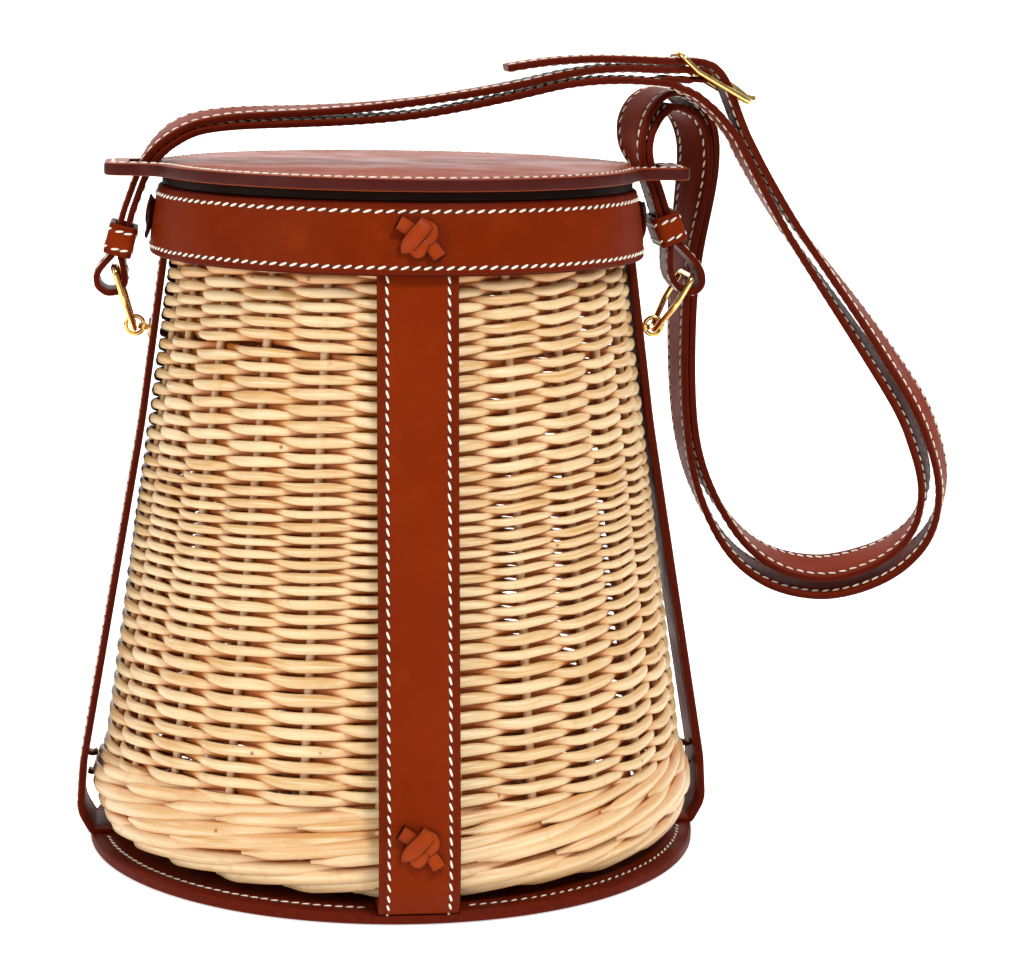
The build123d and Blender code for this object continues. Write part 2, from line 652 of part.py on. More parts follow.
def prong(spare):
    """The prong's eye and tongue, or with a spare margin the room that it needs in the strap."""
    over_end = BUCKLE_WIRE / 2 + PRONG_THICKNESS / 2 + PIN_PLAY
    reach = corner_c + Vector(sin(slope), 0, cos(slope)) * over_end - bar
    half = PRONG_WIDTH / 2 + spare
    side_view = Plane(origin=bar, x_dir=(1, 0, 0), z_dir=(0, -1, 0))
    with BuildPart() as made:
        with BuildSketch(side_view):
            Circle(BUCKLE_BAR / 2 + PIN_PLAY + PRONG_THICKNESS + spare)
            with BuildLine():
                root = BUCKLE_BAR / 2 + PRONG_THICKNESS / 2
                crown_x = reach.X * PRONG_ARCH_SHARE + PRONG_ARCH_RISE[0]
                crown_z = reach.Z * PRONG_ARCH_SHARE + PRONG_ARCH_RISE[1]
                ThreePointArc((0, root), (crown_x, crown_z), (reach.X, reach.Z))
                Line((reach.X, reach.Z), (reach.X + PRONG_TIP_OVER, reach.Z - PRONG_TIP_DROP))
            trace(line_width=PRONG_THICKNESS + 2 * spare)
        extrude(amount=half, both=True)
        if not spare:
            with BuildSketch(side_view):
                Circle(BUCKLE_BAR / 2 + PIN_PLAY)
            extrude(amount=PRONG_WIDTH, both=True, mode=Mode.SUBTRACT)
    return made.part


fold_radius = BUCKLE_BAR / 2 + FOLD_PLAY + SKIVED_THICKNESS / 2
fold = [
    (bar + Vector(fold_radius * cos(radians(a)), 0, fold_radius * sin(radians(a))), Vector(0, 1, 0))
    for a in FOLD_ANGLES
]
tail = [(bar + Vector(-x, 0, -fold_radius + TAIL_RISE * x), Vector(0, 1, 0)) for x in TAIL_LENGTHS]

# The whole belt, from the tail under the buckle's bar to the tip above it
belt = plain(placed(FOLD_APPROACH)[::-1])
belt += layer(left_pair, 1)[::-1]
belt += end_loop("left")[-2:0:-1]
belt += layer(left_pair, -1)
belt += plain(placed(INNER_AT_BUCKLE))
belt += layer(right_pair, -1)
belt += end_loop("right")[-2:0:-1]
belt += layer(right_pair, 1)[::-1]
belt += plain(placed(TIP_ROUTE, STRAP_THICKNESS)[::-1])
sections = [(p, w, SKIVED_THICKNESS) for p, w in tail + fold]
sections += [(p, w, STRAP_THICKNESS) for p, w in belt]

with BuildPart() as shoulder_strap:
    for i, (place, across, thickness) in enumerate(sections):
        before = sections[max(i - 1, 0)][0]
        after = sections[min(i + 1, len(sections) - 1)][0]
        along = (after - before).normalized()
        with BuildSketch(Plane(origin=place, x_dir=across - along * along.dot(across), z_dir=along)):
            Rectangle(STRAP_WIDTH, thickness)
    loft(ruled=True)
    add(prong(CLEARANCE), mode=Mode.SUBTRACT)
save(shoulder_strap.part, "shoulder_strap")

# Buckle: a kinked wire frame with a middle bar, and a prong that turns on the bar.
with BuildPart() as buckle_frame:
    with BuildLine() as frame_path:
        for hand in (1, -1):
            FilletPolyline(
                corner_a,
                corner_a + to_side * hand,
                corner_b + to_side * hand,
                corner_c + to_side * hand,
                corner_c,
                radius=BUCKLE_CORNER,
            )
    with BuildSketch(Plane(origin=corner_a, z_dir=(0, 1, 0))):
        Circle(BUCKLE_WIRE / 2)
    sweep(path=frame_path.wires()[0], transition=Transition.RIGHT)
    with BuildSketch(Plane(origin=bar, z_dir=(0, 1, 0))):
        Circle(BUCKLE_BAR / 2)
    extrude(amount=frame_half, both=True)
save(buckle_frame.part, "buckle_frame")
save(prong(0), "buckle_prong")
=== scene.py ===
"""Looks of a round willow basket bag: woven rods, stitched leather, laces, brass and its light.

Every length in the classes is in millimetres in the bag's own frame (+Z up, the front strap on -Y);
meshes are turned into metres when they are made.
"""

import logging
import math
from dataclasses import dataclass, field
from enum import Enum
from typing import Callable, Optional, Sequence

import bpy
import numpy as np
from mathutils import Matrix, Vector


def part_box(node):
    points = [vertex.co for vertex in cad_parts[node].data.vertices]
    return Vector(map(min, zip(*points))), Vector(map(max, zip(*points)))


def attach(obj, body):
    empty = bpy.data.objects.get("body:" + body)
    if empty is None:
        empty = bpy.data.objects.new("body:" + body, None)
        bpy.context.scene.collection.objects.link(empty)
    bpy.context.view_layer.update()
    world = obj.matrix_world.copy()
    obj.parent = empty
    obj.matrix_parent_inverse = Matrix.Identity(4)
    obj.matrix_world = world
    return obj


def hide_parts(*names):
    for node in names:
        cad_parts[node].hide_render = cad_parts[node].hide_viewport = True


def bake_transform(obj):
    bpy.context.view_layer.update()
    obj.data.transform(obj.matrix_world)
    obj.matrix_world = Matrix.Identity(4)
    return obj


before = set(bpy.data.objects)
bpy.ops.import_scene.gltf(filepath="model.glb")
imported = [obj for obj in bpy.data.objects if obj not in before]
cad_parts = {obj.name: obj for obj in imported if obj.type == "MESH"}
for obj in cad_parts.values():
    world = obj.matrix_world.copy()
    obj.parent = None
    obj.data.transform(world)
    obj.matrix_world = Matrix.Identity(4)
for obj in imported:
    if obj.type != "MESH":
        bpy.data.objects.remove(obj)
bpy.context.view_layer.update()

log = logging.getLogger("basket_bag")
MM = 0.001
SIDES: dict[str, float] = {"front": -90.0, "right": 0.0, "back": 90.0, "left": 180.0}


# ---------------------------------------------------------------- small tools


def deselect() -> None:
    """Leave edit mode and clear the selection."""
    if bpy.context.object and bpy.context.object.mode != "OBJECT":
        bpy.ops.object.mode_set(mode="OBJECT")
    bpy.ops.object.select_all(action="DESELECT")


def tidy_normals(piece: bpy.types.Object, merge: float = 1e-6) -> None:
    """Merge doubles and point a closed shell's faces outwards.

    Args:
        piece: the mesh object.
        merge: distance in metres under which points are merged.
    """
    deselect()
    piece.select_set(True)
    bpy.context.view_layer.objects.active = piece
    bpy.ops.object.mode_set(mode="EDIT")
    bpy.ops.mesh.select_all(action="SELECT")
    if merge:
        bpy.ops.mesh.remove_doubles(threshold=merge)
    bpy.ops.mesh.normals_make_consistent(inside=False)
    bpy.ops.object.mode_set(mode="OBJECT")
    deselect()


def smooth_by_angle(piece: bpy.types.Object, degrees: float = 40.0) -> None:
    """Shade a piece smooth, with creases kept sharp."""
    deselect()
    piece.select_set(True)
    bpy.context.view_layer.objects.active = piece
    bpy.ops.object.shade_smooth_by_angle(angle=math.radians(degrees))
    deselect()


def mesh_piece(
    name: str,
    points: np.ndarray,
    faces: Sequence[Sequence[int]],
    attributes: Optional[dict[str, np.ndarray]] = None,
) -> bpy.types.Object:
    """Make a mesh object from points in millimetres.

    Args:
        name: the piece's name.
        points: an (n, 3) array in millimetres.
        faces: point numbers of each face.
        attributes: number for each point, by attribute name.

    Returns:
        The new object, at the origin, with its place in its mesh.
    """
    mesh = bpy.data.meshes.new(name)
    mesh.from_pydata((points * MM).tolist(), [], [tuple(f) for f in faces])
    for key, values in (attributes or {}).items():
        layer = mesh.attributes.new(key, "FLOAT", "POINT")
        layer.data.foreach_set("value", np.asarray(values, np.float32))
    mesh.update()
    piece = bpy.data.objects.new(name, mesh)
    bpy.context.scene.collection.objects.link(piece)
    return piece


def unit(rows: np.ndarray) -> np.ndarray:
    """Rows scaled to length one."""
    return rows / np.maximum(np.linalg.norm(rows, axis=-1, keepdims=True), 1e-12)


def catmull(rows: Sequence[Sequence[float]], steps: int) -> np.ndarray:
    """Points on a smooth curve through the rows, with every column blended alike.

    Args:
        rows: the rows to pass through.
        steps: points made for each stretch between two rows.

    Returns:
        An array with the same columns.
    """
    p = np.asarray(rows, float)
    out = []
    for i in range(len(p) - 1):
        a, b, c, d = p[max(i - 1, 0)], p[i], p[i + 1], p[min(i + 2, len(p) - 1)]
        for k in range(steps):
            t = k / steps
            out.append(
                0.5 * (2 * b + (c - a) * t + (2 * a - 5 * b + 4 * c - d) * t**2 + (3 * b - a - 3 * c + d) * t**3)
            )
    out.append(p[-1])
    return np.array(out)


def rounded_path(corners: Sequence[tuple[float, float]], radii: Sequence[float], step: float) -> np.ndarray:
    """A flat path of straight runs with an arc at each inner corner.

    Args:
        corners: the path's corners.
        radii: one radius for each inner corner.
        step: longest distance between two points on a run.

    Returns:
        An (n, 2) array of points along the path.
    """
    p = [np.array(c, float) for c in corners]
    stops = [p[0]]
    for i, radius in enumerate(radii, start=1):
        back, on = unit(p[i - 1] - p[i]), unit(p[i + 1] - p[i])
        half = math.acos(float(np.clip(back @ on, -1, 1))) / 2
        reach = radius / math.tan(half)
        centre = p[i] + unit(back + on) * radius / math.sin(half)
        first, last = p[i] + back * reach - centre, p[i] + on * reach - centre
        turn = math.atan2(first[0] * last[1] - first[1] * last[0], first @ last)
        count = max(3, int(abs(turn) * radius / step), int(abs(math.degrees(turn)) / 12))
        for k in range(count + 1):
            angle = turn * k / count
            spin = np.array([[math.cos(angle), -math.sin(angle)], [math.sin(angle), math.cos(angle)]])
            stops.append(centre + spin @ first)
    stops.append(p[-1])
    out = []
    for a, b in zip(stops, stops[1:]):
        count = max(1, int(np.linalg.norm(b - a) / step))
        out += [a + (b - a) * k / count for k in range(count)]
    out.append(stops[-1])
    return np.array(out)


def soft_step(value: np.ndarray, low: float, high: float) -> np.ndarray:
    """0 below low, 1 above high, and a smooth rise between."""
    t = np.clip((value - low) / (high - low), 0, 1)
    return t * t * (3 - 2 * t)


# ---------------------------------------------------------------- finishes


class Nodes:
    """A short way to write a material's nodes."""

    def __init__(self, name: str) -> None:
        """Start a material with one principled shader."""
        self.material = bpy.data.materials.new(name)
        self.material.use_nodes = True
        self.tree = self.material.node_tree
        self.shader = self.tree.nodes["Principled BSDF"]

    def add(self, kind: str, inputs: Optional[dict] = None, **settings) -> bpy.types.Node:
        """Add a node.

        Args:
            kind: the node's type name.
            inputs: a value or an output socket for each named or numbered input.
            settings: the node's own settings.

        Returns:
            The new node.
        """
        node = self.tree.nodes.new(kind)
        for key, value in settings.items():
            setattr(node, key, value)
        for key, value in (inputs or {}).items():
            self.feed(node.inputs[key], value)
        return node

    def feed(self, socket: bpy.types.NodeSocket, value: object) -> None:
        """Link an output to a socket, or set the socket's value."""
        if isinstance(value, bpy.types.NodeSocket):
            self.tree.links.new(value, socket)
        else:
            socket.default_value = value

    def place(self) -> bpy.types.NodeSocket:
        """The piece's own coordinates, in metres."""
        return self.add("ShaderNodeTexCoord").outputs["Object"]

    def number(self, name: str) -> bpy.types.NodeSocket:
        """A number stored on the mesh."""
        return self.add("ShaderNodeAttribute", attribute_name=name).outputs["Fac"]

    def noise(self, scale: float, detail: float = 3.0, rough: float = 0.5, at: Optional[object] = None) -> object:
        """A noise texture's value at a scale in waves a metre."""
        inputs = {"Vector": at or self.place(), "Scale": scale, "Detail": detail, "Roughness": rough}
        return self.add("ShaderNodeTexNoise", inputs).outputs["Fac"]

    def sum(self, mode: str, a: object, b: object = 0.0, clamp: bool = False) -> bpy.types.NodeSocket:
        """One step of arithmetic on two numbers."""
        return self.add("ShaderNodeMath", {0: a, 1: b}, operation=mode, use_clamp=clamp).outputs[0]

    def remap(self, value: object, low: float, high: float, to: tuple[float, float] = (0, 1)) -> object:
        """A smooth map of one range of numbers onto another."""
        inputs = {"Value": value, "From Min": low, "From Max": high, "To Min": to[0], "To Max": to[1]}
        return self.add("ShaderNodeMapRange", inputs, interpolation_type="SMOOTHSTEP").outputs["Result"]

    def mix(self, factor: object, a: object, b: object, blend: str = "MIX") -> bpy.types.NodeSocket:
        """Mix two colours."""
        node = self.add("ShaderNodeMix", data_type="RGBA", blend_type=blend)
        self.feed(node.inputs[0], factor)
        for socket, value in ((node.inputs[6], a), (node.inputs[7], b)):
            self.feed(socket, (*value, 1.0) if isinstance(value, tuple) else value)
        return node.outputs[2]

    def bump(self, height: object, distance: float, strength: float = 1.0, after: Optional[object] = None) -> object:
        """A bump of a height in metres, on top of another bump if one is given."""
        inputs = {"Height": height, "Distance": distance, "Strength": strength}
        if after is not None:
            inputs["Normal"] = after
        return self.add("ShaderNodeBump", inputs).outputs["Normal"]


class EdgeKind(Enum):
    """How a leather piece shows which of its faces are cut edges."""

    NONE = "none"
    STORED = "stored on the mesh"
    LEVEL = "every upright face of a level piece"
    BAND = "top and bottom of the collar"


@dataclass(frozen=True)
class LeatherFinish:
    """Vegetable-tanned bridle leather: waxed grain, pulled-up patches and burnished cut edges."""

    name: str = "bridle_leather"
    colour: tuple[float, float, float] = (0.190, 0.0185, 0.0006)
    light: tuple[float, float, float] = (0.270, 0.034, 0.0030)
    deep: tuple[float, float, float] = (0.165, 0.0145, 0.0005)
    edge: tuple[float, float, float] = (0.055, 0.0038, 0.0008)
    roughness: float = 0.46
    gloss: float = 0.045
    grain: float = 1.0
    edges: EdgeKind = EdgeKind.STORED
    band: tuple[float, float] = (0.2123, 0.2362)

    def edge_mask(self, n: Nodes) -> bpy.types.NodeSocket:
        """Where the leather is a cut edge, from 0 to 1."""
        if self.edges is EdgeKind.STORED:
            return n.number("edge")
        if self.edges is EdgeKind.LEVEL:
            normal = n.add("ShaderNodeNewGeometry").outputs["Normal"]
            up = n.add("ShaderNodeSeparateXYZ", {0: normal}).outputs["Z"]
            return n.remap(n.sum("ABSOLUTE", up), 0.75, 0.45)
        if self.edges is EdgeKind.BAND:
            height = n.add("ShaderNodeSeparateXYZ", {0: n.place()}).outputs["Z"]
            rim = n.sum("MINIMUM", n.sum("SUBTRACT", height, self.band[0]), n.sum("SUBTRACT", self.band[1], height))
            margin = n.sum("MULTIPLY", n.remap(rim, 0.0024, 0.0016), 0.50)
            return n.sum("MAXIMUM", margin, n.remap(rim, 0.0011, 0.0004))
        return n.sum("ADD", 0.0, 0.0)

    def make(self) -> bpy.types.Material:
        """Build the material.

        Returns:
            The finished material.
        """
        n = Nodes(self.name)
        edge = self.edge_mask(n)
        cloud = n.remap(n.noise(24.0, 4.0, 0.55), 0.30, 0.72)
        colour = n.mix(cloud, self.deep, self.colour)
        pull = n.remap(n.noise(95.0, 5.0, 0.6), 0.52, 0.74)
        colour = n.mix(n.sum("MULTIPLY", pull, 0.20), colour, self.light)
        pores = n.add("ShaderNodeTexVoronoi", {"Vector": n.place(), "Scale": 1150.0, "Randomness": 1.0})
        cell = pores.outputs["Distance"]
        dot = n.remap(cell, 0.30, 0.05)
        colour = n.mix(n.sum("MULTIPLY", dot, 0.22), colour, self.deep)
        rub = n.sum("MULTIPLY", n.number("rub"), n.remap(n.noise(260.0, 3.0), 0.45, 0.75))
        colour = n.mix(n.sum("MULTIPLY", rub, 0.25, True), colour, self.light)
        press = n.number("groove")
        colour = n.mix(n.sum("MULTIPLY", press, 0.5), colour, self.deep)
        streak = n.remap(n.noise(420.0, 2.0), 0.3, 0.7)
        edge_colour = n.mix(streak, self.edge, tuple(1.25 * c for c in self.edge))
        n.feed(n.shader.inputs["Base Color"], n.mix(edge, colour, edge_colour))
        wax = n.remap(n.noise(60.0, 4.0), 0.3, 0.7, (self.roughness - 0.06, self.roughness + 0.10))
        n.feed(n.shader.inputs["Roughness"], n.sum("ADD", wax, n.sum("MULTIPLY", edge, 0.06)))
        n.shader.inputs["Specular IOR Level"].default_value = self.gloss
        crease = n.bump(n.noise(380.0, 4.0, 0.55), 0.00010 * self.grain, 0.45)
        fine = n.bump(cell, 0.00004 * self.grain, 0.5, crease)
        n.feed(n.shader.inputs["Normal"], fine)
        return n.material


@dataclass(frozen=True)
class WillowFinish:
    """Peeled willow: cream to honey rods with long grain, specks and small knots, and warm painted shade in the
    hollows.
    """

    name: str = "peeled_willow"
    pale: tuple[float, float, float] = (0.720, 0.520, 0.270)
    honey: tuple[float, float, float] = (0.580, 0.325, 0.105)
    straw: tuple[float, float, float] = (0.800, 0.640, 0.390)
    knot: tuple[float, float, float] = (0.300, 0.085, 0.015)
    # warm dark brown used as painted shade on the rods' backs, sides and tucked ends
    shade_tint: tuple[float, float, float] = (0.680, 0.190, 0.026)

    def make(self) -> bpy.types.Material:
        """Build the material.

        Returns:
            The finished material.
        """
        n = Nodes(self.name)
        tone = n.number("tone")
        colour = n.mix(n.remap(tone, 0.05, 0.95), self.pale, self.honey)
        along = n.add("ShaderNodeCombineXYZ", {0: n.number("along"), 1: n.number("around"), 2: tone}).outputs[0]
        drawn_out = n.add("ShaderNodeMapping", {"Vector": along, "Scale": (45, 900, 40)}).outputs[0]
        fibre = n.noise(1.0, 4.0, 0.6, drawn_out)
        colour = n.mix(n.remap(fibre, 0.35, 0.72), colour, self.straw)
        patch = n.remap(n.noise(120.0, 3.0, 0.6), 0.55, 0.75)
        colour = n.mix(n.sum("MULTIPLY", patch, 0.45), colour, self.honey)
        spots = n.add("ShaderNodeTexVoronoi", {"Vector": n.place(), "Scale": 95.0, "Randomness": 1.0})
        speck = n.remap(spots.outputs["Distance"], 0.085, 0.045)
        chance = n.add("ShaderNodeSeparateColor", {0: spots.outputs["Color"]}).outputs[0]
        speck = n.sum("MULTIPLY", speck, n.remap(chance, 0.55, 0.6))
        colour = n.mix(n.sum("MULTIPLY", speck, 0.85), colour, self.knot)
        # painted shade: the deep number mixes the willow towards the warm dark brown
        deep = n.number("deep")
        colour = n.mix(n.sum("MULTIPLY", deep, 0.92), colour, self.shade_tint)
        n.feed(n.shader.inputs["Base Color"], colour)
        n.feed(n.shader.inputs["Roughness"], n.remap(fibre, 0.2, 0.8, (0.30, 0.48)))
        n.shader.inputs["Specular IOR Level"].default_value = 0.55
        ridge = n.bump(fibre, 0.00018, 0.55)
        wave = n.bump(n.noise(330.0, 2.0), 0.0003, 0.35, ridge)
        n.feed(n.shader.inputs["Normal"], n.bump(speck, 0.0004, 0.6, wave))
        return n.material


@dataclass(frozen=True)
class BrassFinish:
    """Polished brass with a fine brushed wear."""

    name: str = "polished_brass"
    bright: tuple[float, float, float] = (0.860, 0.590, 0.210)
    dull: tuple[float, float, float] = (0.600, 0.370, 0.110)

    def make(self) -> bpy.types.Material:
        """Build the material."""
        n = Nodes(self.name)
        cloud = n.remap(n.noise(420.0, 4.0, 0.6), 0.42, 0.75)
        n.feed(n.shader.inputs["Base Color"], n.mix(n.sum("MULTIPLY", cloud, 0.6), self.bright, self.dull))
        n.shader.inputs["Metallic"].default_value = 1.0
        n.feed(n.shader.inputs["Roughness"], n.remap(n.noise(300.0, 3.0), 0.3, 0.7, (0.10, 0.20)))
        n.feed(n.shader.inputs["Normal"], n.bump(n.noise(700.0, 2.0), 0.00002, 0.3))
        return n.material


@dataclass(frozen=True)
class ThreadFinish:
    """Waxed linen thread, or the painted shade of a stitch hole."""

    name: str
    colour: tuple[float, float, float]
    shade: tuple[float, float, float]
    roughness: float

    def make(self) -> bpy.types.Material:
        """Build the material."""
        n = Nodes(self.name)
        n.feed(n.shader.inputs["Base Color"], n.mix(n.remap(n.noise(520.0, 3.0), 0.35, 0.7), self.colour, self.shade))
        n.shader.inputs["Roughness"].default_value = self.roughness
        n.feed(n.shader.inputs["Normal"], n.bump(n.noise(3200.0, 2.0), 0.00008, 0.6))
        return n.material


@dataclass(frozen=True)
class StageFinish:
    """Matt pale studio paper, lit from behind a little."""

    name: str = "studio_paper"
    glow: float = 0.68

    def make(self) -> bpy.types.Material:
        """Build the material."""
        n = Nodes(self.name)
        tint = n.mix(n.noise(3.0, 2.0), (0.90, 0.90, 0.90), (0.93, 0.93, 0.93))
        n.feed(n.shader.inputs["Base Color"], tint)
        n.feed(n.shader.inputs["Emission Color"], tint)
        n.shader.inputs["Emission Strength"].default_value = self.glow
        n.shader.inputs["Specular IOR Level"].default_value = 0.1
        n.shader.inputs["Roughness"].default_value = 0.9
        return n.material


class Finishes:
    """All the bag's materials, made once."""

    def __init__(self) -> None:
        """Make every material."""
        self.leather = LeatherFinish().make()
        self.lid_leather = LeatherFinish(
            name="lid_leather",
            edges=EdgeKind.LEVEL,
            gloss=0.16,
            grain=0.4,
            colour=(0.270, 0.040, 0.0050),
            deep=(0.230, 0.030, 0.0030),
            edge=(0.045, 0.0025, 0.0005),
        ).make()
        # the base plate's top is darkened: painted shade from the basket above it
        self.base_leather_painted_shade = LeatherFinish(
            name="base_leather_painted_shade",
            edges=EdgeKind.LEVEL,
            colour=(0.105, 0.009, 0.0010),
            light=(0.140, 0.014, 0.0020),
            deep=(0.080, 0.006, 0.0008),
            edge=(0.085, 0.007, 0.0014),
        ).make()
        self.collar_leather = LeatherFinish(
            name="collar_leather",
            edges=EdgeKind.BAND,
            colour=(0.160, 0.0155, 0.0004),
            deep=(0.140, 0.0120, 0.0003),
        ).make()
        self.lace = LeatherFinish(
            name="lace_leather",
            colour=(0.330, 0.046, 0.0050),
            light=(0.480, 0.090, 0.016),
            deep=(0.230, 0.022, 0.0015),
            # near-black edge: dyed cut edge and painted shade around the knots' turns
            edge=(0.010, 0.0008, 0.0003),
            roughness=0.40,
            gloss=0.08,
            grain=0.7,
        ).make()
        # dark leather for the ring under the lid, made near-black as painted shade under the lid's overhang
        self.underlay_dark_and_shade = LeatherFinish(
            name="underlay_leather_dark_and_shade",
            colour=(0.010, 0.0030, 0.0014),
            light=(0.018, 0.0060, 0.0025),
            deep=(0.006, 0.0018, 0.0010),
            edge=(0.006, 0.0018, 0.0010),
            roughness=0.55,
            gloss=0.05,
            edges=EdgeKind.NONE,
        ).make()
        self.willow = WillowFinish().make()
        self.brass = BrassFinish().make()
        self.thread = ThreadFinish("linen_thread", (0.88, 0.83, 0.72), (0.70, 0.62, 0.50), 0.55).make()
        # a near-black patch of painted shade for each stitch hole
        self.hole_shade = ThreadFinish("stitch_hole_shade", (0.020, 0.0022, 0.0012), (0.038, 0.004, 0.002), 0.9).make()


def dress(piece: bpy.types.Object, material: bpy.types.Material) -> bpy.types.Object:
    """Give a piece one material and return it."""
    piece.data.materials.clear()
    piece.data.materials.append(material)
    return piece


# ---------------------------------------------------------------- ribbons and stitches


@dataclass
class Ribbon:
    """A strip of leather along a path: where it runs, which way it faces and how it is cut."""

    path: np.ndarray
    across: np.ndarray
    facing: np.ndarray
    width: float
    thickness: float
    closed: bool = False
    inset: float = 3.3
    crown: float = 0.10
    press: float = 0.16
    margin: float = 0.5
    edge_radius: float = 0.62
    # how far the dark edge colour reaches round the rounded edges: dyed edge, and on the knots' laces also painted
    # shade
    edge_dye_and_shade: float = 0.3
    dark_ends: bool = False
    outward: np.ndarray = field(init=False)
    along: np.ndarray = field(init=False)
    run: np.ndarray = field(init=False)

    def __post_init__(self) -> None:
        """Work out the direction, the width and the outward normal at each place."""
        if self.closed:
            ahead = np.roll(self.path, -1, axis=0) - np.roll(self.path, 1, axis=0)
        else:
            ahead = np.gradient(self.path, axis=0)
        self.along = unit(ahead)
        wide = np.broadcast_to(self.across, self.path.shape)
        self.across = unit(wide - self.along * np.sum(wide * self.along, axis=1, keepdims=True))
        self.outward = np.cross(self.along, self.across)
        if self.outward[0] @ np.asarray(self.facing, float) < 0:
            self.outward = -self.outward
        steps = np.linalg.norm(np.diff(self.path, axis=0), axis=1)
        self.run = np.concatenate([[0.0], np.cumsum(steps)])

    def profile(self) -> np.ndarray:
        """The cut across the strip.

        Returns:
            Rows of place across, height, how much edge, how much groove and how much rub.
        """
        half, thick, r = self.width / 2, self.thickness / 2, self.edge_radius
        r = min(r, 0.48 * self.thickness)
        seam = half - min(self.inset, half / 2)
        k = min(1.0, half / 8)

        def corner(side: int, face: int, angle: float) -> tuple[float, float, float, int, int]:
            """A point on one of the four rounded edges."""
            a = math.radians(angle)
            edge_dye_and_shade = max(0.8 * (angle < 45), self.edge_dye_and_shade)
            return side * (half - r + r * math.cos(a)), face * (thick - r + r * math.sin(a)), edge_dye_and_shade, 0, 1

        rows = []
        marks = [(-half + r, 0.0, self.margin, 0.7), (-seam - 0.95 * k, 0, self.margin, 0.1)]
        marks += [(-seam - 0.5 * k, 0, 0.15, 0.0), (-seam, self.press, 0.1, 0.0), (-seam + 0.55 * k, 0, 0.0, 0.0)]
        marks += [(-seam / 2, 0, 0, 0.0), (0.0, 0, 0, 0.0)]
        marks += [(-x, d, g, u) for x, d, g, u in reversed(marks[:-1])]
        for x, dip, edge_dye_and_shade, rub in marks:
            rows.append((x, thick + self.crown * (1 - (x / half) ** 2) - dip, edge_dye_and_shade, float(dip > 0), rub))
        rows += [corner(1, 1, angle) for angle in (60, 25)] + [(half, 0.0, 1.0, 0.0, 0.0)]
        rows += [corner(1, -1, angle) for angle in (25, 60)]
        for x, dip, edge_dye_and_shade, rub in reversed(marks):
            rows.append((x, -thick + dip, edge_dye_and_shade, float(dip > 0), rub))
        rows += [corner(-1, -1, angle) for angle in (60, 25)] + [(-half, 0.0, 1.0, 0.0, 0.0)]
        rows += [corner(-1, 1, angle) for angle in (25, 60)]
        return np.array(rows)

    def build(self, name: str) -> bpy.types.Object:
        """Make the strip's mesh.

        Args:
            name: the piece's name.

        Returns:
            The new object.
        """
        cut = self.profile()
        count, around = len(self.path), len(cut)
        points = (
            self.path[:, None, :]
            + self.across[:, None, :] * cut[None, :, 0, None]
            + self.outward[:, None, :] * cut[None, :, 1, None]
        ).reshape(-1, 3)
        faces = []
        rings = count if self.closed else count - 1
        for i in range(rings):
            here, there = i * around, ((i + 1) % count) * around
            for j in range(around):
                k = (j + 1) % around
                faces.append((here + j, here + k, there + k, there + j))
        if not self.closed:
            faces.append(tuple(range(around)))
            faces.append(tuple(range((count - 1) * around, count * around)))
        stored = {
            "edge": np.tile(cut[:, 2], count),
            "groove": np.tile(cut[:, 3], count),
            "rub": np.tile(cut[:, 4], count),
        }
        if self.dark_ends:
            stored["edge"][:around] = stored["edge"][-around:] = 1.0
        piece = mesh_piece(name, points, faces, stored)
        tidy_normals(piece, 0.0)
        smooth_by_angle(piece, 50)
        return piece

    def at(self, distance: np.ndarray) -> tuple[np.ndarray, np.ndarray, np.ndarray, np.ndarray]:
        """Place, along, across and outward at distances from the strip's start."""
        values = [
            np.stack([np.interp(distance, self.run, rows[:, k]) for k in range(3)], axis=1)
            for rows in (self.path, self.along, self.across, self.outward)
        ]
        return values[0], unit(values[1]), unit(values[2]), unit(values[3])


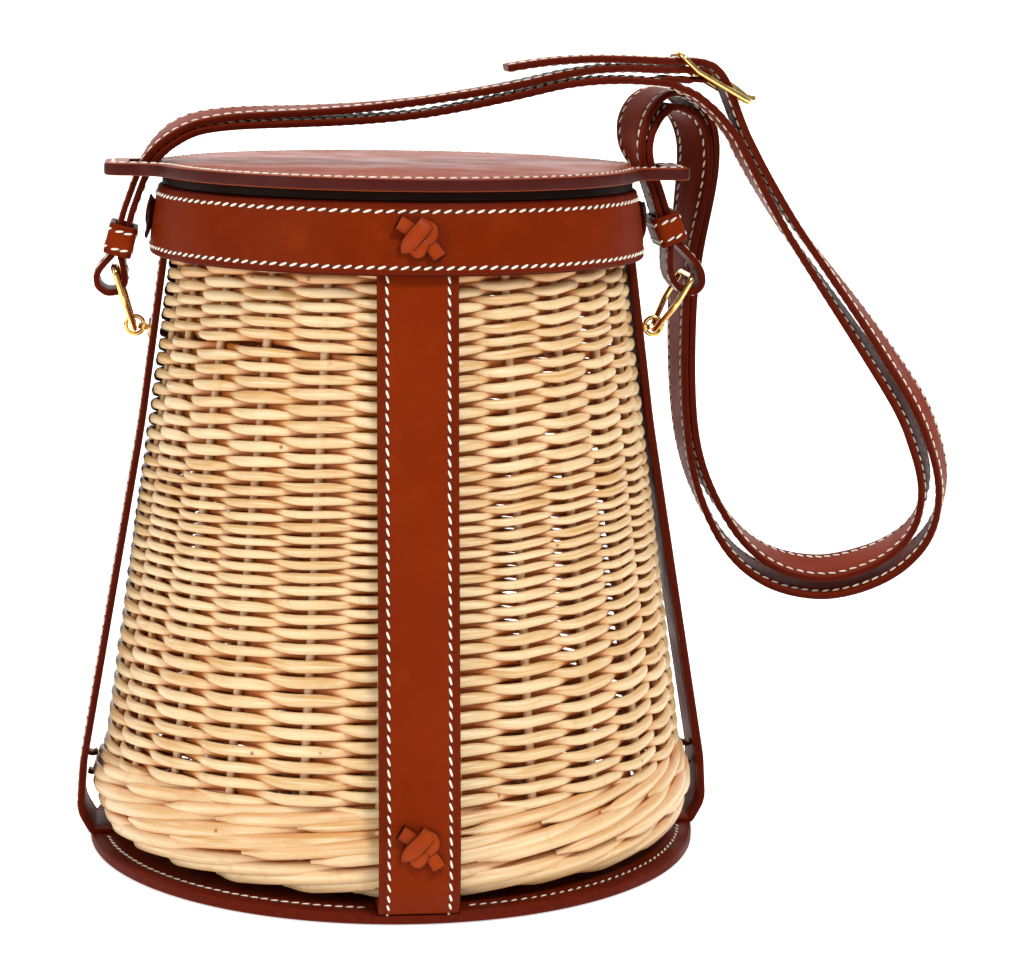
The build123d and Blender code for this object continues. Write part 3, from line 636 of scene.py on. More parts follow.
class Seamstress:
    """Sews rows of slanted hand stitches, with a dark patch of painted shade for the hole between each two."""

    def __init__(self, finishes: Finishes, pitch: float = 3.75, length: float = 2.95) -> None:
        """Model one stitch and the patch of painted shade for one hole.

        Args:
            finishes: the bag's materials.
            pitch: distance from stitch to stitch.
            length: length of the thread that shows.
        """
        self.finishes = finishes
        self.pitch = pitch
        self.stitch = self.template((length / 2, 0.43, 0.40), 7, 6)
        # flat dark patch: painted shade of a stitch hole
        self.hole_shade = self.template((0.62, 0.42, 0.16), 6, 4)
        self.rng = np.random.default_rng(41)

    @staticmethod
    def template(half: tuple[float, float, float], segments: int, rings: int) -> tuple[np.ndarray, list]:
        """Model a small rounded form that lies along X.

        Args:
            half: half its length, width and height.
            segments: faces around it.
            rings: faces along it.

        Returns:
            Its points and faces.
        """
        deselect()
        bpy.ops.mesh.primitive_uv_sphere_add(segments=segments, ring_count=rings, radius=1.0)
        piece = bpy.context.object
        bpy.ops.object.mode_set(mode="EDIT")
        bpy.ops.mesh.select_all(action="SELECT")
        bpy.ops.transform.rotate(value=math.pi / 2, orient_axis="Y", center_override=(0, 0, 0))
        bpy.ops.object.mode_set(mode="OBJECT")
        points = np.array([v.co[:] for v in piece.data.vertices])
        points[:, 0] = np.sign(points[:, 0]) * np.abs(points[:, 0]) ** 0.8
        points *= np.array(half)
        faces = [tuple(f.vertices) for f in piece.data.polygons]
        bpy.data.objects.remove(piece)
        return points, faces

    def lay(
        self,
        name: str,
        template: tuple[np.ndarray, list],
        middle: np.ndarray,
        long: np.ndarray,
        up: np.ndarray,
        material: bpy.types.Material,
    ) -> bpy.types.Object:
        """Copy a template to many places.

        Args:
            name: the piece's name.
            template: points and faces of one.
            middle: place of each.
            long: direction of each one's length.
            up: direction of each one's height.
            material: the finish.

        Returns:
            One object with every copy in it.
        """
        points, faces = template
        long = unit(long - up * np.sum(long * up, axis=1, keepdims=True))
        side = np.cross(up, long)
        placed = (
            middle[:, None, :]
            + long[:, None, :] * points[None, :, 0, None]
            + side[:, None, :] * points[None, :, 1, None]
            + up[:, None, :] * points[None, :, 2, None]
        )
        count = len(points)
        every = [tuple(v + i * count for v in f) for i in range(len(middle)) for f in faces]
        piece = dress(mesh_piece(name, placed.reshape(-1, 3), every), material)
        piece.data.shade_smooth()
        return piece

    def sew(
        self,
        name: str,
        rows: Sequence[tuple[np.ndarray, np.ndarray, np.ndarray]],
    ) -> list[bpy.types.Object]:
        """Sew stitches given by their places.

        Args:
            name: the pieces' name.
            rows: for each row, the middle, length direction and height direction of each stitch.

        Returns:
            The thread and the holes' painted shade, as two objects.
        """
        middle = np.concatenate([r[0] for r in rows])
        long = np.concatenate([r[1] for r in rows])
        up = np.concatenate([r[2] for r in rows])
        side = np.cross(up, long)
        loose = self.rng.normal(0, 1, (len(middle), 2))
        lean = long + side * (loose[:, :1] * 0.035)
        thread = self.lay(
            f"{name}_thread", self.stitch, middle + side * (loose[:, 1:] * 0.05), lean, up, self.finishes.thread
        )
        gaps = [(r[0][:-1] + r[0][1:]) / 2 for r in rows if len(r[0]) > 1]
        along = [unit(r[0][1:] - r[0][:-1]) for r in rows if len(r[0]) > 1]
        tops = [unit(r[2][:-1] + r[2][1:]) for r in rows if len(r[0]) > 1]
        up_hole = np.concatenate(tops)
        # each hole is a flat dark patch between two stitches: painted shade
        hole_shades = self.lay(
            f"{name}_holes",
            self.hole_shade,
            np.concatenate(gaps) - up_hole * 0.04,
            np.concatenate(along),
            up_hole,
            self.finishes.hole_shade,
        )
        return [thread, hole_shades]

    def rows_on(
        self,
        ribbon: Ribbon,
        slant: float,
        faces: Sequence[int] = (1,),
        start: float = 2.2,
        stop: float = 2.2,
        pitch: Optional[float] = None,
    ) -> list[tuple[np.ndarray, np.ndarray, np.ndarray]]:
        """Both stitch rows of a ribbon.

        Args:
            ribbon: the strip.
            slant: degrees that each stitch leans from the row, towards the strip's right.
            faces: 1 for the outer face and -1 for the inner.
            start: distance of the first stitch from the strip's start.
            stop: distance of the last stitch from the strip's end.
            pitch: distance from stitch to stitch, if not the usual one.

        Returns:
            Rows for sew.
        """
        length = ribbon.run[-1]
        count = max(2, int(round((length - start - stop) / (pitch or self.pitch))) + 1)
        distance = np.linspace(start, length - stop, count)
        place, along, across, outward = ribbon.at(distance)
        right = np.cross(along, outward)
        lean = math.tan(math.radians(slant))
        rows = []
        for face in faces:
            for hand in (-1, 1):
                seam = ribbon.width / 2 - ribbon.inset
                height = ribbon.thickness / 2 + (ribbon.crown if face > 0 else 0) - ribbon.press + 0.12
                middle = place + right * (hand * seam) + outward * (face * height)
                rows.append((middle, unit(along + right * lean), outward * face))
        return rows

    def ring(
        self,
        radius: Callable[[float], float],
        height: float,
        up: Callable[[float], Vector],
        slant: float,
        turns: Sequence[float],
    ) -> tuple[np.ndarray, np.ndarray, np.ndarray]:
        """A stitch row round the bag's axis.

        Args:
            radius: the row's radius at an angle.
            height: the row's height.
            up: the surface's outward normal at an angle.
            slant: degrees that each stitch leans up to the right.
            turns: the angles of the stitches, in radians.

        Returns:
            A row for sew.
        """
        turns = np.asarray(turns, float)
        reach = np.array([radius(t) for t in turns])
        middle = np.stack([reach * np.cos(turns), reach * np.sin(turns), np.full(len(turns), height)], axis=1)
        along = np.stack([-np.sin(turns), np.cos(turns), np.zeros(len(turns))], axis=1)
        normal = np.array([up(t)[:] for t in turns])
        lean = math.tan(math.radians(slant))
        over = np.cross(normal, along)
        return middle, unit(along + over * lean), normal


# ---------------------------------------------------------------- the willow basket


@dataclass
class WillowBasket:
    """The woven body: upright stakes, two chasing rods, a waled border and a woven floor."""

    finishes: Finishes
    stakes: int = 24
    stake_turn: float = -7.0
    pitch_heights: tuple[float, ...] = (36, 57, 73, 90, 106, 123, 139, 155, 171, 188, 202, 232)
    pitches: tuple[float, ...] = (5.5, 5.5, 6.0, 5.1, 4.45, 3.9, 4.4, 5.2, 5.35, 4.5, 5.0, 4.9)
    first_row: float = 32.0
    last_row: float = 231.0
    side_start: float = 34.0
    low_radius: float = 105.4
    top_radius: float = 78.0
    top: float = 233.0
    foot_radius: float = 97.0
    foot: float = 5.9
    bulge_radius: float = 109.0
    bulge_height: float = 19.0
    swing: float = 2.55
    rod_depth: float = 1.45
    stake_radius: float = 1.75
    samples: int = 216
    sides: int = 8

    def __post_init__(self) -> None:
        """Work out the border's arc and the wobbles that every row shares."""
        a, b = (self.foot_radius, self.foot), (self.bulge_radius, self.bulge_height)
        c = (self.low_radius, self.side_start)
        d = 2 * (a[0] * (b[1] - c[1]) + b[0] * (c[1] - a[1]) + c[0] * (a[1] - b[1]))
        sq = [p[0] ** 2 + p[1] ** 2 for p in (a, b, c)]
        self.arc_x = (sq[0] * (b[1] - c[1]) + sq[1] * (c[1] - a[1]) + sq[2] * (a[1] - b[1])) / d
        self.arc_z = (sq[0] * (c[0] - b[0]) + sq[1] * (a[0] - c[0]) + sq[2] * (b[0] - a[0])) / d
        self.arc_r = math.hypot(a[0] - self.arc_x, a[1] - self.arc_z)
        self.rng = np.random.default_rng(7)
        self.waves = [
            (int(k), float(s), float(p), float(q))
            for k, s, p, q in zip(
                (2, 3, 5, 7, 11),
                (0.55, 0.45, 0.35, 0.25, 0.18),
                self.rng.uniform(0, 6.28, 5),
                self.rng.uniform(0.015, 0.05, 5),
            )
        ]

    def outer(self, height: np.ndarray) -> np.ndarray:
        """Outer radius of the weave at a height."""
        share = (height - self.side_start) / (self.top - self.side_start)
        side = self.low_radius + share * (self.top_radius - self.low_radius)
        inside = np.clip(self.arc_r**2 - (np.minimum(height, self.side_start) - self.arc_z) ** 2, 0, None)
        return np.where(height < self.side_start, self.arc_x + np.sqrt(inside), side)

    def wobble(self, turn: np.ndarray, height: np.ndarray) -> np.ndarray:
        """How far the rows at a place have strayed up or down."""
        total = np.zeros_like(turn)
        for k, size, phase, rate in self.waves:
            total += size * np.sin(k * turn + phase + rate * height)
        lift = np.clip(1 - (height - 184.5) / 26.0, 0, 1) * (height > 184.5)
        left = soft_step(np.cos(turn - math.radians(218)), 0.5, 0.95)
        right = soft_step(np.cos(turn - math.radians(-38)), 0.72, 0.98)
        return total * 0.7 + 1.7 * lift * left + 1.2 * lift * right

    def middle_radius(self, height: np.ndarray) -> np.ndarray:
        """Radius of the stakes' centres."""
        return self.outer(height) - self.depth(height) - 0.05

    def depth(self, height: np.ndarray) -> np.ndarray:
        """Half the weave's thickness, thinner where the collar grips it."""
        full = self.swing + self.rod_depth
        return full - 1.7 * soft_step(height, 213.0, 222.0)

    def tube(
        self,
        middle: np.ndarray,
        half_up: np.ndarray,
        half_out: np.ndarray,
        tone: np.ndarray,
        deep: np.ndarray,
        side_shade: float = 0.12,
    ) -> tuple[np.ndarray, list, dict[str, np.ndarray]]:
        """A rod's skin along its middle line.

        Args:
            middle: points along the rod.
            half_up: half its height at each point.
            half_out: half its depth at each point.
            tone: its colour at each point, from pale to honey.
            deep: how much painted shade it carries at each point.
            side_shade: how much painted shade darkens its upper and lower sides.

        Returns:
            Points, faces and stored numbers.
        """
        along = unit(np.gradient(middle, axis=0))
        out = np.stack([middle[:, 0], middle[:, 1], np.zeros(len(middle))], axis=1)
        out = unit(out - along * np.sum(out * along, axis=1, keepdims=True))
        up = np.cross(out, along)
        up *= np.sign(up[:, 2:3] + 1e-9)
        angle = np.arange(self.sides) * 2 * math.pi / self.sides
        bow = np.abs(np.cos(angle)) ** 0.85 * np.sign(np.cos(angle))
        rise = np.abs(np.sin(angle)) ** 0.85 * np.sign(np.sin(angle))
        points = (
            middle[:, None, :]
            + out[:, None, :] * (half_out[:, None] * bow[None, :])[:, :, None]
            + up[:, None, :] * (half_up[:, None] * rise[None, :])[:, :, None]
        )
        count, s = len(middle), self.sides
        faces = [
            (i * s + j, i * s + (j + 1) % s, (i + 1) * s + (j + 1) % s, (i + 1) * s + j)
            for i in range(count - 1)
            for j in range(s)
        ]
        faces += [tuple(range(s)), tuple(range((count - 1) * s, count * s))]
        run = np.concatenate([[0], np.cumsum(np.linalg.norm(np.diff(middle, axis=0), axis=1))])
        # deep holds painted shade: the given amount, plus more on the rod's back and on its upper and lower sides
        stored = {
            "along": np.repeat(run * MM, s),
            "around": np.tile(angle / 6.28 * 0.012, count),
            "tone": np.repeat(tone, s),
            "deep": np.clip(np.repeat(deep, s) + np.tile(0.5 * (bow < -0.3) + side_shade * rise**2, count), 0, 1),
        }
        return points.reshape(-1, 3), faces, stored

    def join(self, name: str, tubes: Sequence[tuple[np.ndarray, list, dict[str, np.ndarray]]]) -> bpy.types.Object:
        """Put several rods in one piece, dressed in willow."""
        offset, points, faces = 0, [], []
        stored: dict[str, list] = {}
        for p, f, values in tubes:
            points.append(p)
            faces += [tuple(v + offset for v in face) for face in f]
            offset += len(p)
            for key, row in values.items():
                stored.setdefault(key, []).append(row)
        piece = mesh_piece(name, np.concatenate(points), faces, {k: np.concatenate(v) for k, v in stored.items()})
        tidy_normals(piece, 0.0)
        smooth_by_angle(piece, 60)
        return dress(piece, self.finishes.willow)

    def chasing_rod(self, odd: int) -> tuple[np.ndarray, list, dict[str, np.ndarray]]:
        """One of the two rods that climb round the stakes, in front of every other one."""
        step = 2 * math.pi / self.samples
        base = [self.first_row]
        while base[-1] < self.last_row:
            base.append(base[-1] + float(np.interp(base[-1], self.pitch_heights, self.pitches)) / self.samples)
        climb = np.array(base)
        pitch = np.interp(climb, self.pitch_heights, self.pitches)
        climb = climb + odd * pitch / 2
        theta = np.arange(len(climb)) * step
        phase = self.stakes / 2 * theta + odd * math.pi
        front = np.cos(phase)
        bump = np.floor(phase / (2 * math.pi) + 0.5).astype(int)
        fat = np.clip(self.rng.normal(0, 1, bump.max() + 2), -1.8, 1.8)[bump]
        stray = self.rng.normal(0, 1, bump.max() + 2)[bump]
        shown = soft_step(front, -0.1, 0.8)
        height = climb + self.wobble(theta % (2 * math.pi), climb) + 0.024 * pitch * stray * shown
        height += pitch * (0.12 + 0.06 * np.cos(theta)) * np.sin(phase) * np.abs(front)
        depth = self.rod_depth * np.sqrt(pitch / 5.4)
        swing = self.depth(climb) - depth
        out = front + 0.18 * (1 - front**2)
        reach = self.middle_radius(climb) + swing * np.sign(out) * np.abs(out) ** 0.8
        reach += 0.10 * fat * shown
        turn = theta + math.radians(self.stake_turn)
        middle = np.stack([reach * np.cos(turn), reach * np.sin(turn), height], axis=1)
        half_up = pitch * (0.272 + (0.088 + 0.022 * fat) * soft_step(np.abs(front), 0.05, 0.9))
        rod = np.floor(theta / (2 * math.pi * 1.37) + 0.31 * odd).astype(int)
        tone = np.clip(self.rng.beta(1.6, 2.2, rod.max() + 2)[rod] + 0.10 * fat, 0, 1)
        # painted shade on the rods' backs, and painted shadow on the rows just under the collar
        deep = 0.95 * soft_step(-front, -0.12, 0.5) + 0.40 * soft_step(climb, 203.0, 212.0)
        return self.tube(middle, half_up, depth * (0.86 + 0.14 * shown), tone, deep)

    def upright_stakes(self) -> list[tuple[np.ndarray, list, dict[str, np.ndarray]]]:
        """The stakes, from the floor to the rim."""
        tubes = []
        for k in range(self.stakes):
            theta = 2 * math.pi * k / self.stakes + math.radians(self.stake_turn) + self.rng.normal(0, 0.004)
            height = np.linspace(9.0, 232.0, 60)
            swing = self.rng.normal(0, 0.003) * np.sin(height / 60 + k)
            reach = self.middle_radius(height) - 2.6 * soft_step(-height, -36.0, -30.0)
            turn = theta + swing
            middle = np.stack([reach * np.cos(turn), reach * np.sin(turn), height], axis=1)
            width = self.stake_radius * (1.0 - 0.12 * height / 232.0)
            along = unit(np.gradient(middle, axis=0))
            side = unit(np.stack([-np.sin(turn), np.cos(turn), np.zeros(len(turn))], axis=1))
            out = np.cross(side, along)
            angle = np.arange(8) * 2 * math.pi / 8
            points = (
                middle[:, None, :]
                + side[:, None, :] * (width[:, None] * np.cos(angle))[:, :, None]
                + out[:, None, :] * (width[:, None] * 0.85 * np.sin(angle))[:, :, None]
            ).reshape(-1, 3)
            faces = [
                (i * 8 + j, i * 8 + (j + 1) % 8, (i + 1) * 8 + (j + 1) % 8, (i + 1) * 8 + j)
                for i in range(59)
                for j in range(8)
            ] + [tuple(range(8)), tuple(range(59 * 8, 60 * 8))]
            tone = np.full(480, float(self.rng.beta(2, 3)))
            stored = {
                "along": np.repeat(height * MM, 8),
                "around": np.tile(angle / 6.28 * 0.011, 60),
                "tone": tone,
                # painted shade on the stakes, which stand behind the rods
                "deep": np.full(480, 0.18),
            }
            tubes.append((points, faces, stored))
        return tubes

    def border(self) -> list[tuple[np.ndarray, list, dict[str, np.ndarray]]]:
        """The waled rows and the rolled border at the foot, of thicker slanted rods."""
        tubes = []
        step = 2 * math.pi / self.stakes
        samples = 34
        t = np.linspace(0, 1, samples)
        courses = ((13.6, 5.6, 2.80, 3.5), (25.0, 5.8, 2.70, 3.5), (33.0, 3.6, 2.30, 3.0))
        for level, (middle_height, rise, half, span) in enumerate(courses):
            for k in range(self.stakes):
                jitter = np.clip(self.rng.normal(0, 1, 4), -1.7, 1.7)
                theta = step * (k + 0.5 * level + (span + 0.10 * jitter[0]) * (t - 0.5))
                height = middle_height + rise * (2 * t - 1) * (1 + 0.06 * jitter[1]) + 0.30 * jitter[2]
                height += 0.9 * np.sin(math.pi * t)
                tuck = 1.0 * (1 - soft_step(t, 0.0, 0.08)) + 0.2 + 5.0 * soft_step(t, 0.50, 1.0)
                slim = 0.35 + 0.65 * soft_step(t, 0.0, 0.13) - 0.30 * soft_step(t, 0.62, 1.0)
                half_up = half * slim * (1 + 0.07 * jitter[3])
                reach = self.outer(np.clip(height, self.foot + 0.6, 60)) - half * 0.86 - tuck
                middle = np.stack([reach * np.cos(theta), reach * np.sin(theta), height], axis=1)
                tone = np.full(samples, float(np.clip(self.rng.beta(1.5, 2.8), 0, 1)))
                # painted shade on the tucked ends and, strongly, on each rod's upper and lower sides
                tubes.append(self.tube(middle, half_up, half_up * 0.80, tone, 0.8 * soft_step(t, 0.62, 0.95), 0.55))
        return tubes

    def floor(self) -> list[tuple[np.ndarray, list, dict[str, np.ndarray]]]:
        """The woven floor: a spiral rod over and under the spokes."""
        turns = np.arange(0, 19 * 96 + 1) * 2 * math.pi / 96
        reach = 9.0 + turns / (2 * math.pi) * 4.45
        height = 9.1 + 1.0 * np.cos(12 * turns + math.pi * np.floor(turns / (2 * math.pi)))
        middle = np.stack([reach * np.cos(turns), reach * np.sin(turns), height], axis=1)
        size = np.full(len(turns), 1.9)
        # painted shade over the floor's spiral rod
        tubes = [self.tube(middle, size * 0.75, size, np.full(len(turns), 0.4), np.full(len(turns), 0.2))]
        for k in range(12):
            theta = 2 * math.pi * k / 12
            line = np.linspace(4, 94, 20)
            spoke = np.stack([line * math.cos(theta), line * math.sin(theta), np.full(20, 9.1)], axis=1)
            angle = np.arange(6) * math.pi / 3
            side = np.array([-math.sin(theta), math.cos(theta), 0])
            points = (
                spoke[:, None, :]
                + side * (1.9 * np.cos(angle))[None, :, None]
                + np.array([0, 0, 1.0]) * (1.0 * np.sin(angle))[None, :, None]
            ).reshape(-1, 3)
            faces = [
                (i * 6 + j, i * 6 + (j + 1) % 6, (i + 1) * 6 + (j + 1) % 6, (i + 1) * 6 + j)
                for i in range(19)
                for j in range(6)
            ] + [tuple(range(6)), tuple(range(114, 120))]
            stored = {
                "along": np.repeat(line * MM, 6),
                "around": np.tile(angle / 6.28 * 0.011, 20),
                "tone": np.full(120, 0.5),
                # painted shade over the spokes
                "deep": np.full(120, 0.2),
            }
            tubes.append((points, faces, stored))
        return tubes

    def build(self) -> None:
        """Make the basket and hide the plain shell."""
        pieces = [
            self.join("willow_rod_even", [self.chasing_rod(0)]),
            self.join("willow_rod_odd", [self.chasing_rod(1)]),
            self.join("willow_stakes", self.upright_stakes()),
            self.join("willow_border", self.border()),
            self.join("willow_floor", self.floor()),
        ]
        for piece in pieces:
            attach(piece, "basket_body")
            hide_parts("basket")
            log.info("%s: %d faces", piece.name, len(piece.data.polygons))


# ---------------------------------------------------------------- straps down the sides


@dataclass
class SideStraps:
    """Four stitched straps down the basket, each turned in on the base plate."""

    finishes: Finishes
    seamstress: Seamstress
    width: float = 27.0
    thickness: float = 2.4
    clearance: float = 0.3
    corners: tuple[tuple[float, float], ...] = ()
    radii: tuple[float, ...] = (400.0, 40.0, 12.0, 3.4)

    def __post_init__(self) -> None:
        """Set the outer face's corners from the weave's slope."""
        slope = (105.4 - 78.0) / (233.0 - 34.0)
        face = [105.4 - slope * (h - 34.0) + self.clearance + self.thickness for h in (230.0, 153.0)]
        self.corners = (
            (face[0], 230.0),
            (face[1], 153.0),
            (113.4, 29.0),
            (114.6, 12.0),
            (109.6, 3.2),
            (95.0, 3.2),
        )

    def strip(self, side: str) -> Ribbon:
        """One strap's ribbon, on its middle line."""
        outer = rounded_path(self.corners, self.radii, 3.0)
        ahead = unit(np.gradient(outer, axis=0))
        inward = np.stack([ahead[:, 1], -ahead[:, 0]], axis=1)
        line = outer + inward * self.thickness / 2
        a = math.radians(SIDES[side])
        path = np.stack([line[:, 0] * math.cos(a), line[:, 0] * math.sin(a), line[:, 1]], axis=1)
        wide = np.array([-math.sin(a), math.cos(a), 0.0])
        facing = np.array([math.cos(a), math.sin(a), 0.1])
        return Ribbon(path, wide, facing, self.width, self.thickness)

    def build(self) -> None:
        """Make the four straps and sew them."""
        for side in SIDES:
            ribbon = self.strip(side)
            strap = dress(ribbon.build(f"{side}_side_strap"), self.finishes.leather)
            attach(strap, "basket_body")
            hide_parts(f"{side}_strap")
            rows = self.seamstress.rows_on(ribbon, slant=-17, start=19.0, stop=2.0)
            for piece in self.seamstress.sew(f"{side}_side_strap", rows):
                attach(piece, "basket_body")
            log.info("%s side strap: %d faces", side, len(strap.data.polygons))


# ---------------------------------------------------------------- thick leather, turned and cut


@dataclass
class Turner:
    """Turns bands and plates of thick leather from a section, and cuts seats and slots in them."""

    steps: int = 192

    def turn(self, name: str, corners: Sequence[tuple[float, float]], radii: Sequence[float]) -> bpy.types.Object:
        """Spin a closed section round the height axis.

        Args:
            name: the piece's name.
            corners: reach and height of the section's corners, which end where they start.
            radii: how far each corner is rounded.

        Returns:
            The turned piece.
        """
        section = rounded_path(corners, radii, 4.0)[:-1]
        deselect()
        bpy.ops.mesh.primitive_circle_add(vertices=len(section), radius=0.01)
        piece = bpy.context.object
        piece.name = name
        for vertex, (reach, height) in zip(piece.data.vertices, section):
            vertex.co = (reach * MM, 0, height * MM)
        bpy.ops.object.mode_set(mode="EDIT")
        bpy.ops.mesh.select_all(action="SELECT")
        bpy.ops.mesh.spin(steps=self.steps, angle=2 * math.pi, center=(0, 0, 0), axis=(0, 0, 1))
        bpy.ops.object.mode_set(mode="OBJECT")
        self.close(piece)
        return piece

    @staticmethod
    def close(piece: bpy.types.Object) -> None:
        """Weld the seam and the poles, drop loose edges and turn every face outwards."""
        deselect()
        piece.select_set(True)
        bpy.context.view_layer.objects.active = piece
        bpy.ops.object.mode_set(mode="EDIT")
        bpy.ops.mesh.select_all(action="SELECT")
        bpy.ops.mesh.remove_doubles(threshold=2e-6)
        bpy.ops.mesh.delete_loose(use_verts=True, use_edges=True, use_faces=False)
        bpy.ops.mesh.select_all(action="SELECT")
        bpy.ops.mesh.normals_make_consistent(inside=False)
        bpy.ops.object.mode_set(mode="OBJECT")

    def cut(
        self, piece: bpy.types.Object, middle: tuple, size: tuple, angle: float = 0.0, corner: float = 0.0
    ) -> None:
        """Cut a box-shaped seat or slot out of a piece.

        Args:
            piece: what is cut.
            middle: the cutter's centre, in millimetres.
            size: the cutter's length, width and height, in millimetres.
            angle: how far it is turned round the bag.
            corner: radius of its upright corners.
        """
        deselect()
        bpy.ops.mesh.primitive_cube_add(size=1)
        cutter = bpy.context.object
        for vertex in cutter.data.vertices:
            x, y, z = (c * s + m for c, s, m in zip(vertex.co, size, middle))
            vertex.co = (x * MM, y * MM, z * MM)
        if corner:
            for edge in cutter.data.edges:
                a, b = (cutter.data.vertices[v].co for v in edge.vertices)
                edge.select = abs(a.z - b.z) > 1e-6
            for vertex in cutter.data.vertices:
                vertex.select = False
            for face in cutter.data.polygons:
                face.select = False
            bpy.ops.object.mode_set(mode="EDIT")
            bpy.ops.mesh.select_mode(type="EDGE")
            bpy.ops.mesh.bevel(offset=corner * MM, segments=4, affect="EDGES")
            bpy.ops.object.mode_set(mode="OBJECT")
        cutter.data.transform(Matrix.Rotation(angle, 4, "Z"))
        deselect()
        piece.select_set(True)
        bpy.context.view_layer.objects.active = piece
        slot = piece.modifiers.new("slot", "BOOLEAN")
        slot.object, slot.operation, slot.solver = cutter, "DIFFERENCE", "EXACT"
        bpy.ops.object.modifier_apply(modifier=slot.name)
        bpy.data.objects.remove(cutter)

    def plate(self, name: str, outline: np.ndarray, low: float, high: float, soft: float) -> bpy.types.Object:
        """Cut a plate from an outline, round its rims and press a groove for the stitching.

        Args:
            name: the piece's name.
            outline: points round it, anticlockwise, in millimetres.
            low: its underside's height.
            high: its top's height.
            soft: how far its rims are rounded.

        Returns:
            The plate.
        """
        deselect()
        bpy.ops.mesh.primitive_circle_add(vertices=len(outline), radius=0.01, fill_type="NGON")
        piece = bpy.context.object
        piece.name = name
        for vertex, (x, y) in zip(piece.data.vertices, outline):
            vertex.co = (x * MM, y * MM, low * MM)
        bpy.ops.object.mode_set(mode="EDIT")
        bpy.ops.mesh.select_all(action="SELECT")
        bpy.ops.mesh.extrude_region_move(TRANSFORM_OT_translate={"value": (0, 0, (high - low) * MM)})
        bpy.ops.object.mode_set(mode="OBJECT")
        self.close(piece)
        for edge in piece.data.edges:
            a, b = (piece.data.vertices[v].co for v in edge.vertices)
            edge.select = abs(a.z - b.z) < 1e-6
        bpy.ops.object.mode_set(mode="EDIT")
        bpy.ops.mesh.select_mode(type="EDGE")
        bpy.ops.mesh.bevel(offset=soft * MM, segments=4, affect="EDGES")
        bpy.ops.object.mode_set(mode="OBJECT")
        widest = max((f for f in piece.data.polygons if f.normal.z > 0.99), key=lambda f: f.area).index
        for part in (piece.data.vertices, piece.data.edges, piece.data.polygons):
            for item in part:
                item.select = False
        piece.data.polygons[widest].select = True
        bpy.ops.object.mode_set(mode="EDIT")
        bpy.ops.mesh.select_mode(type="FACE")
        for wide, deep in ((1.5, 0.0), (0.5, -0.14), (0.6, 0.14)):
            bpy.ops.mesh.inset(thickness=wide * MM, depth=deep * MM)
        bpy.ops.object.mode_set(mode="OBJECT")
        return piece


# ---------------------------------------------------------------- collar, lid and base


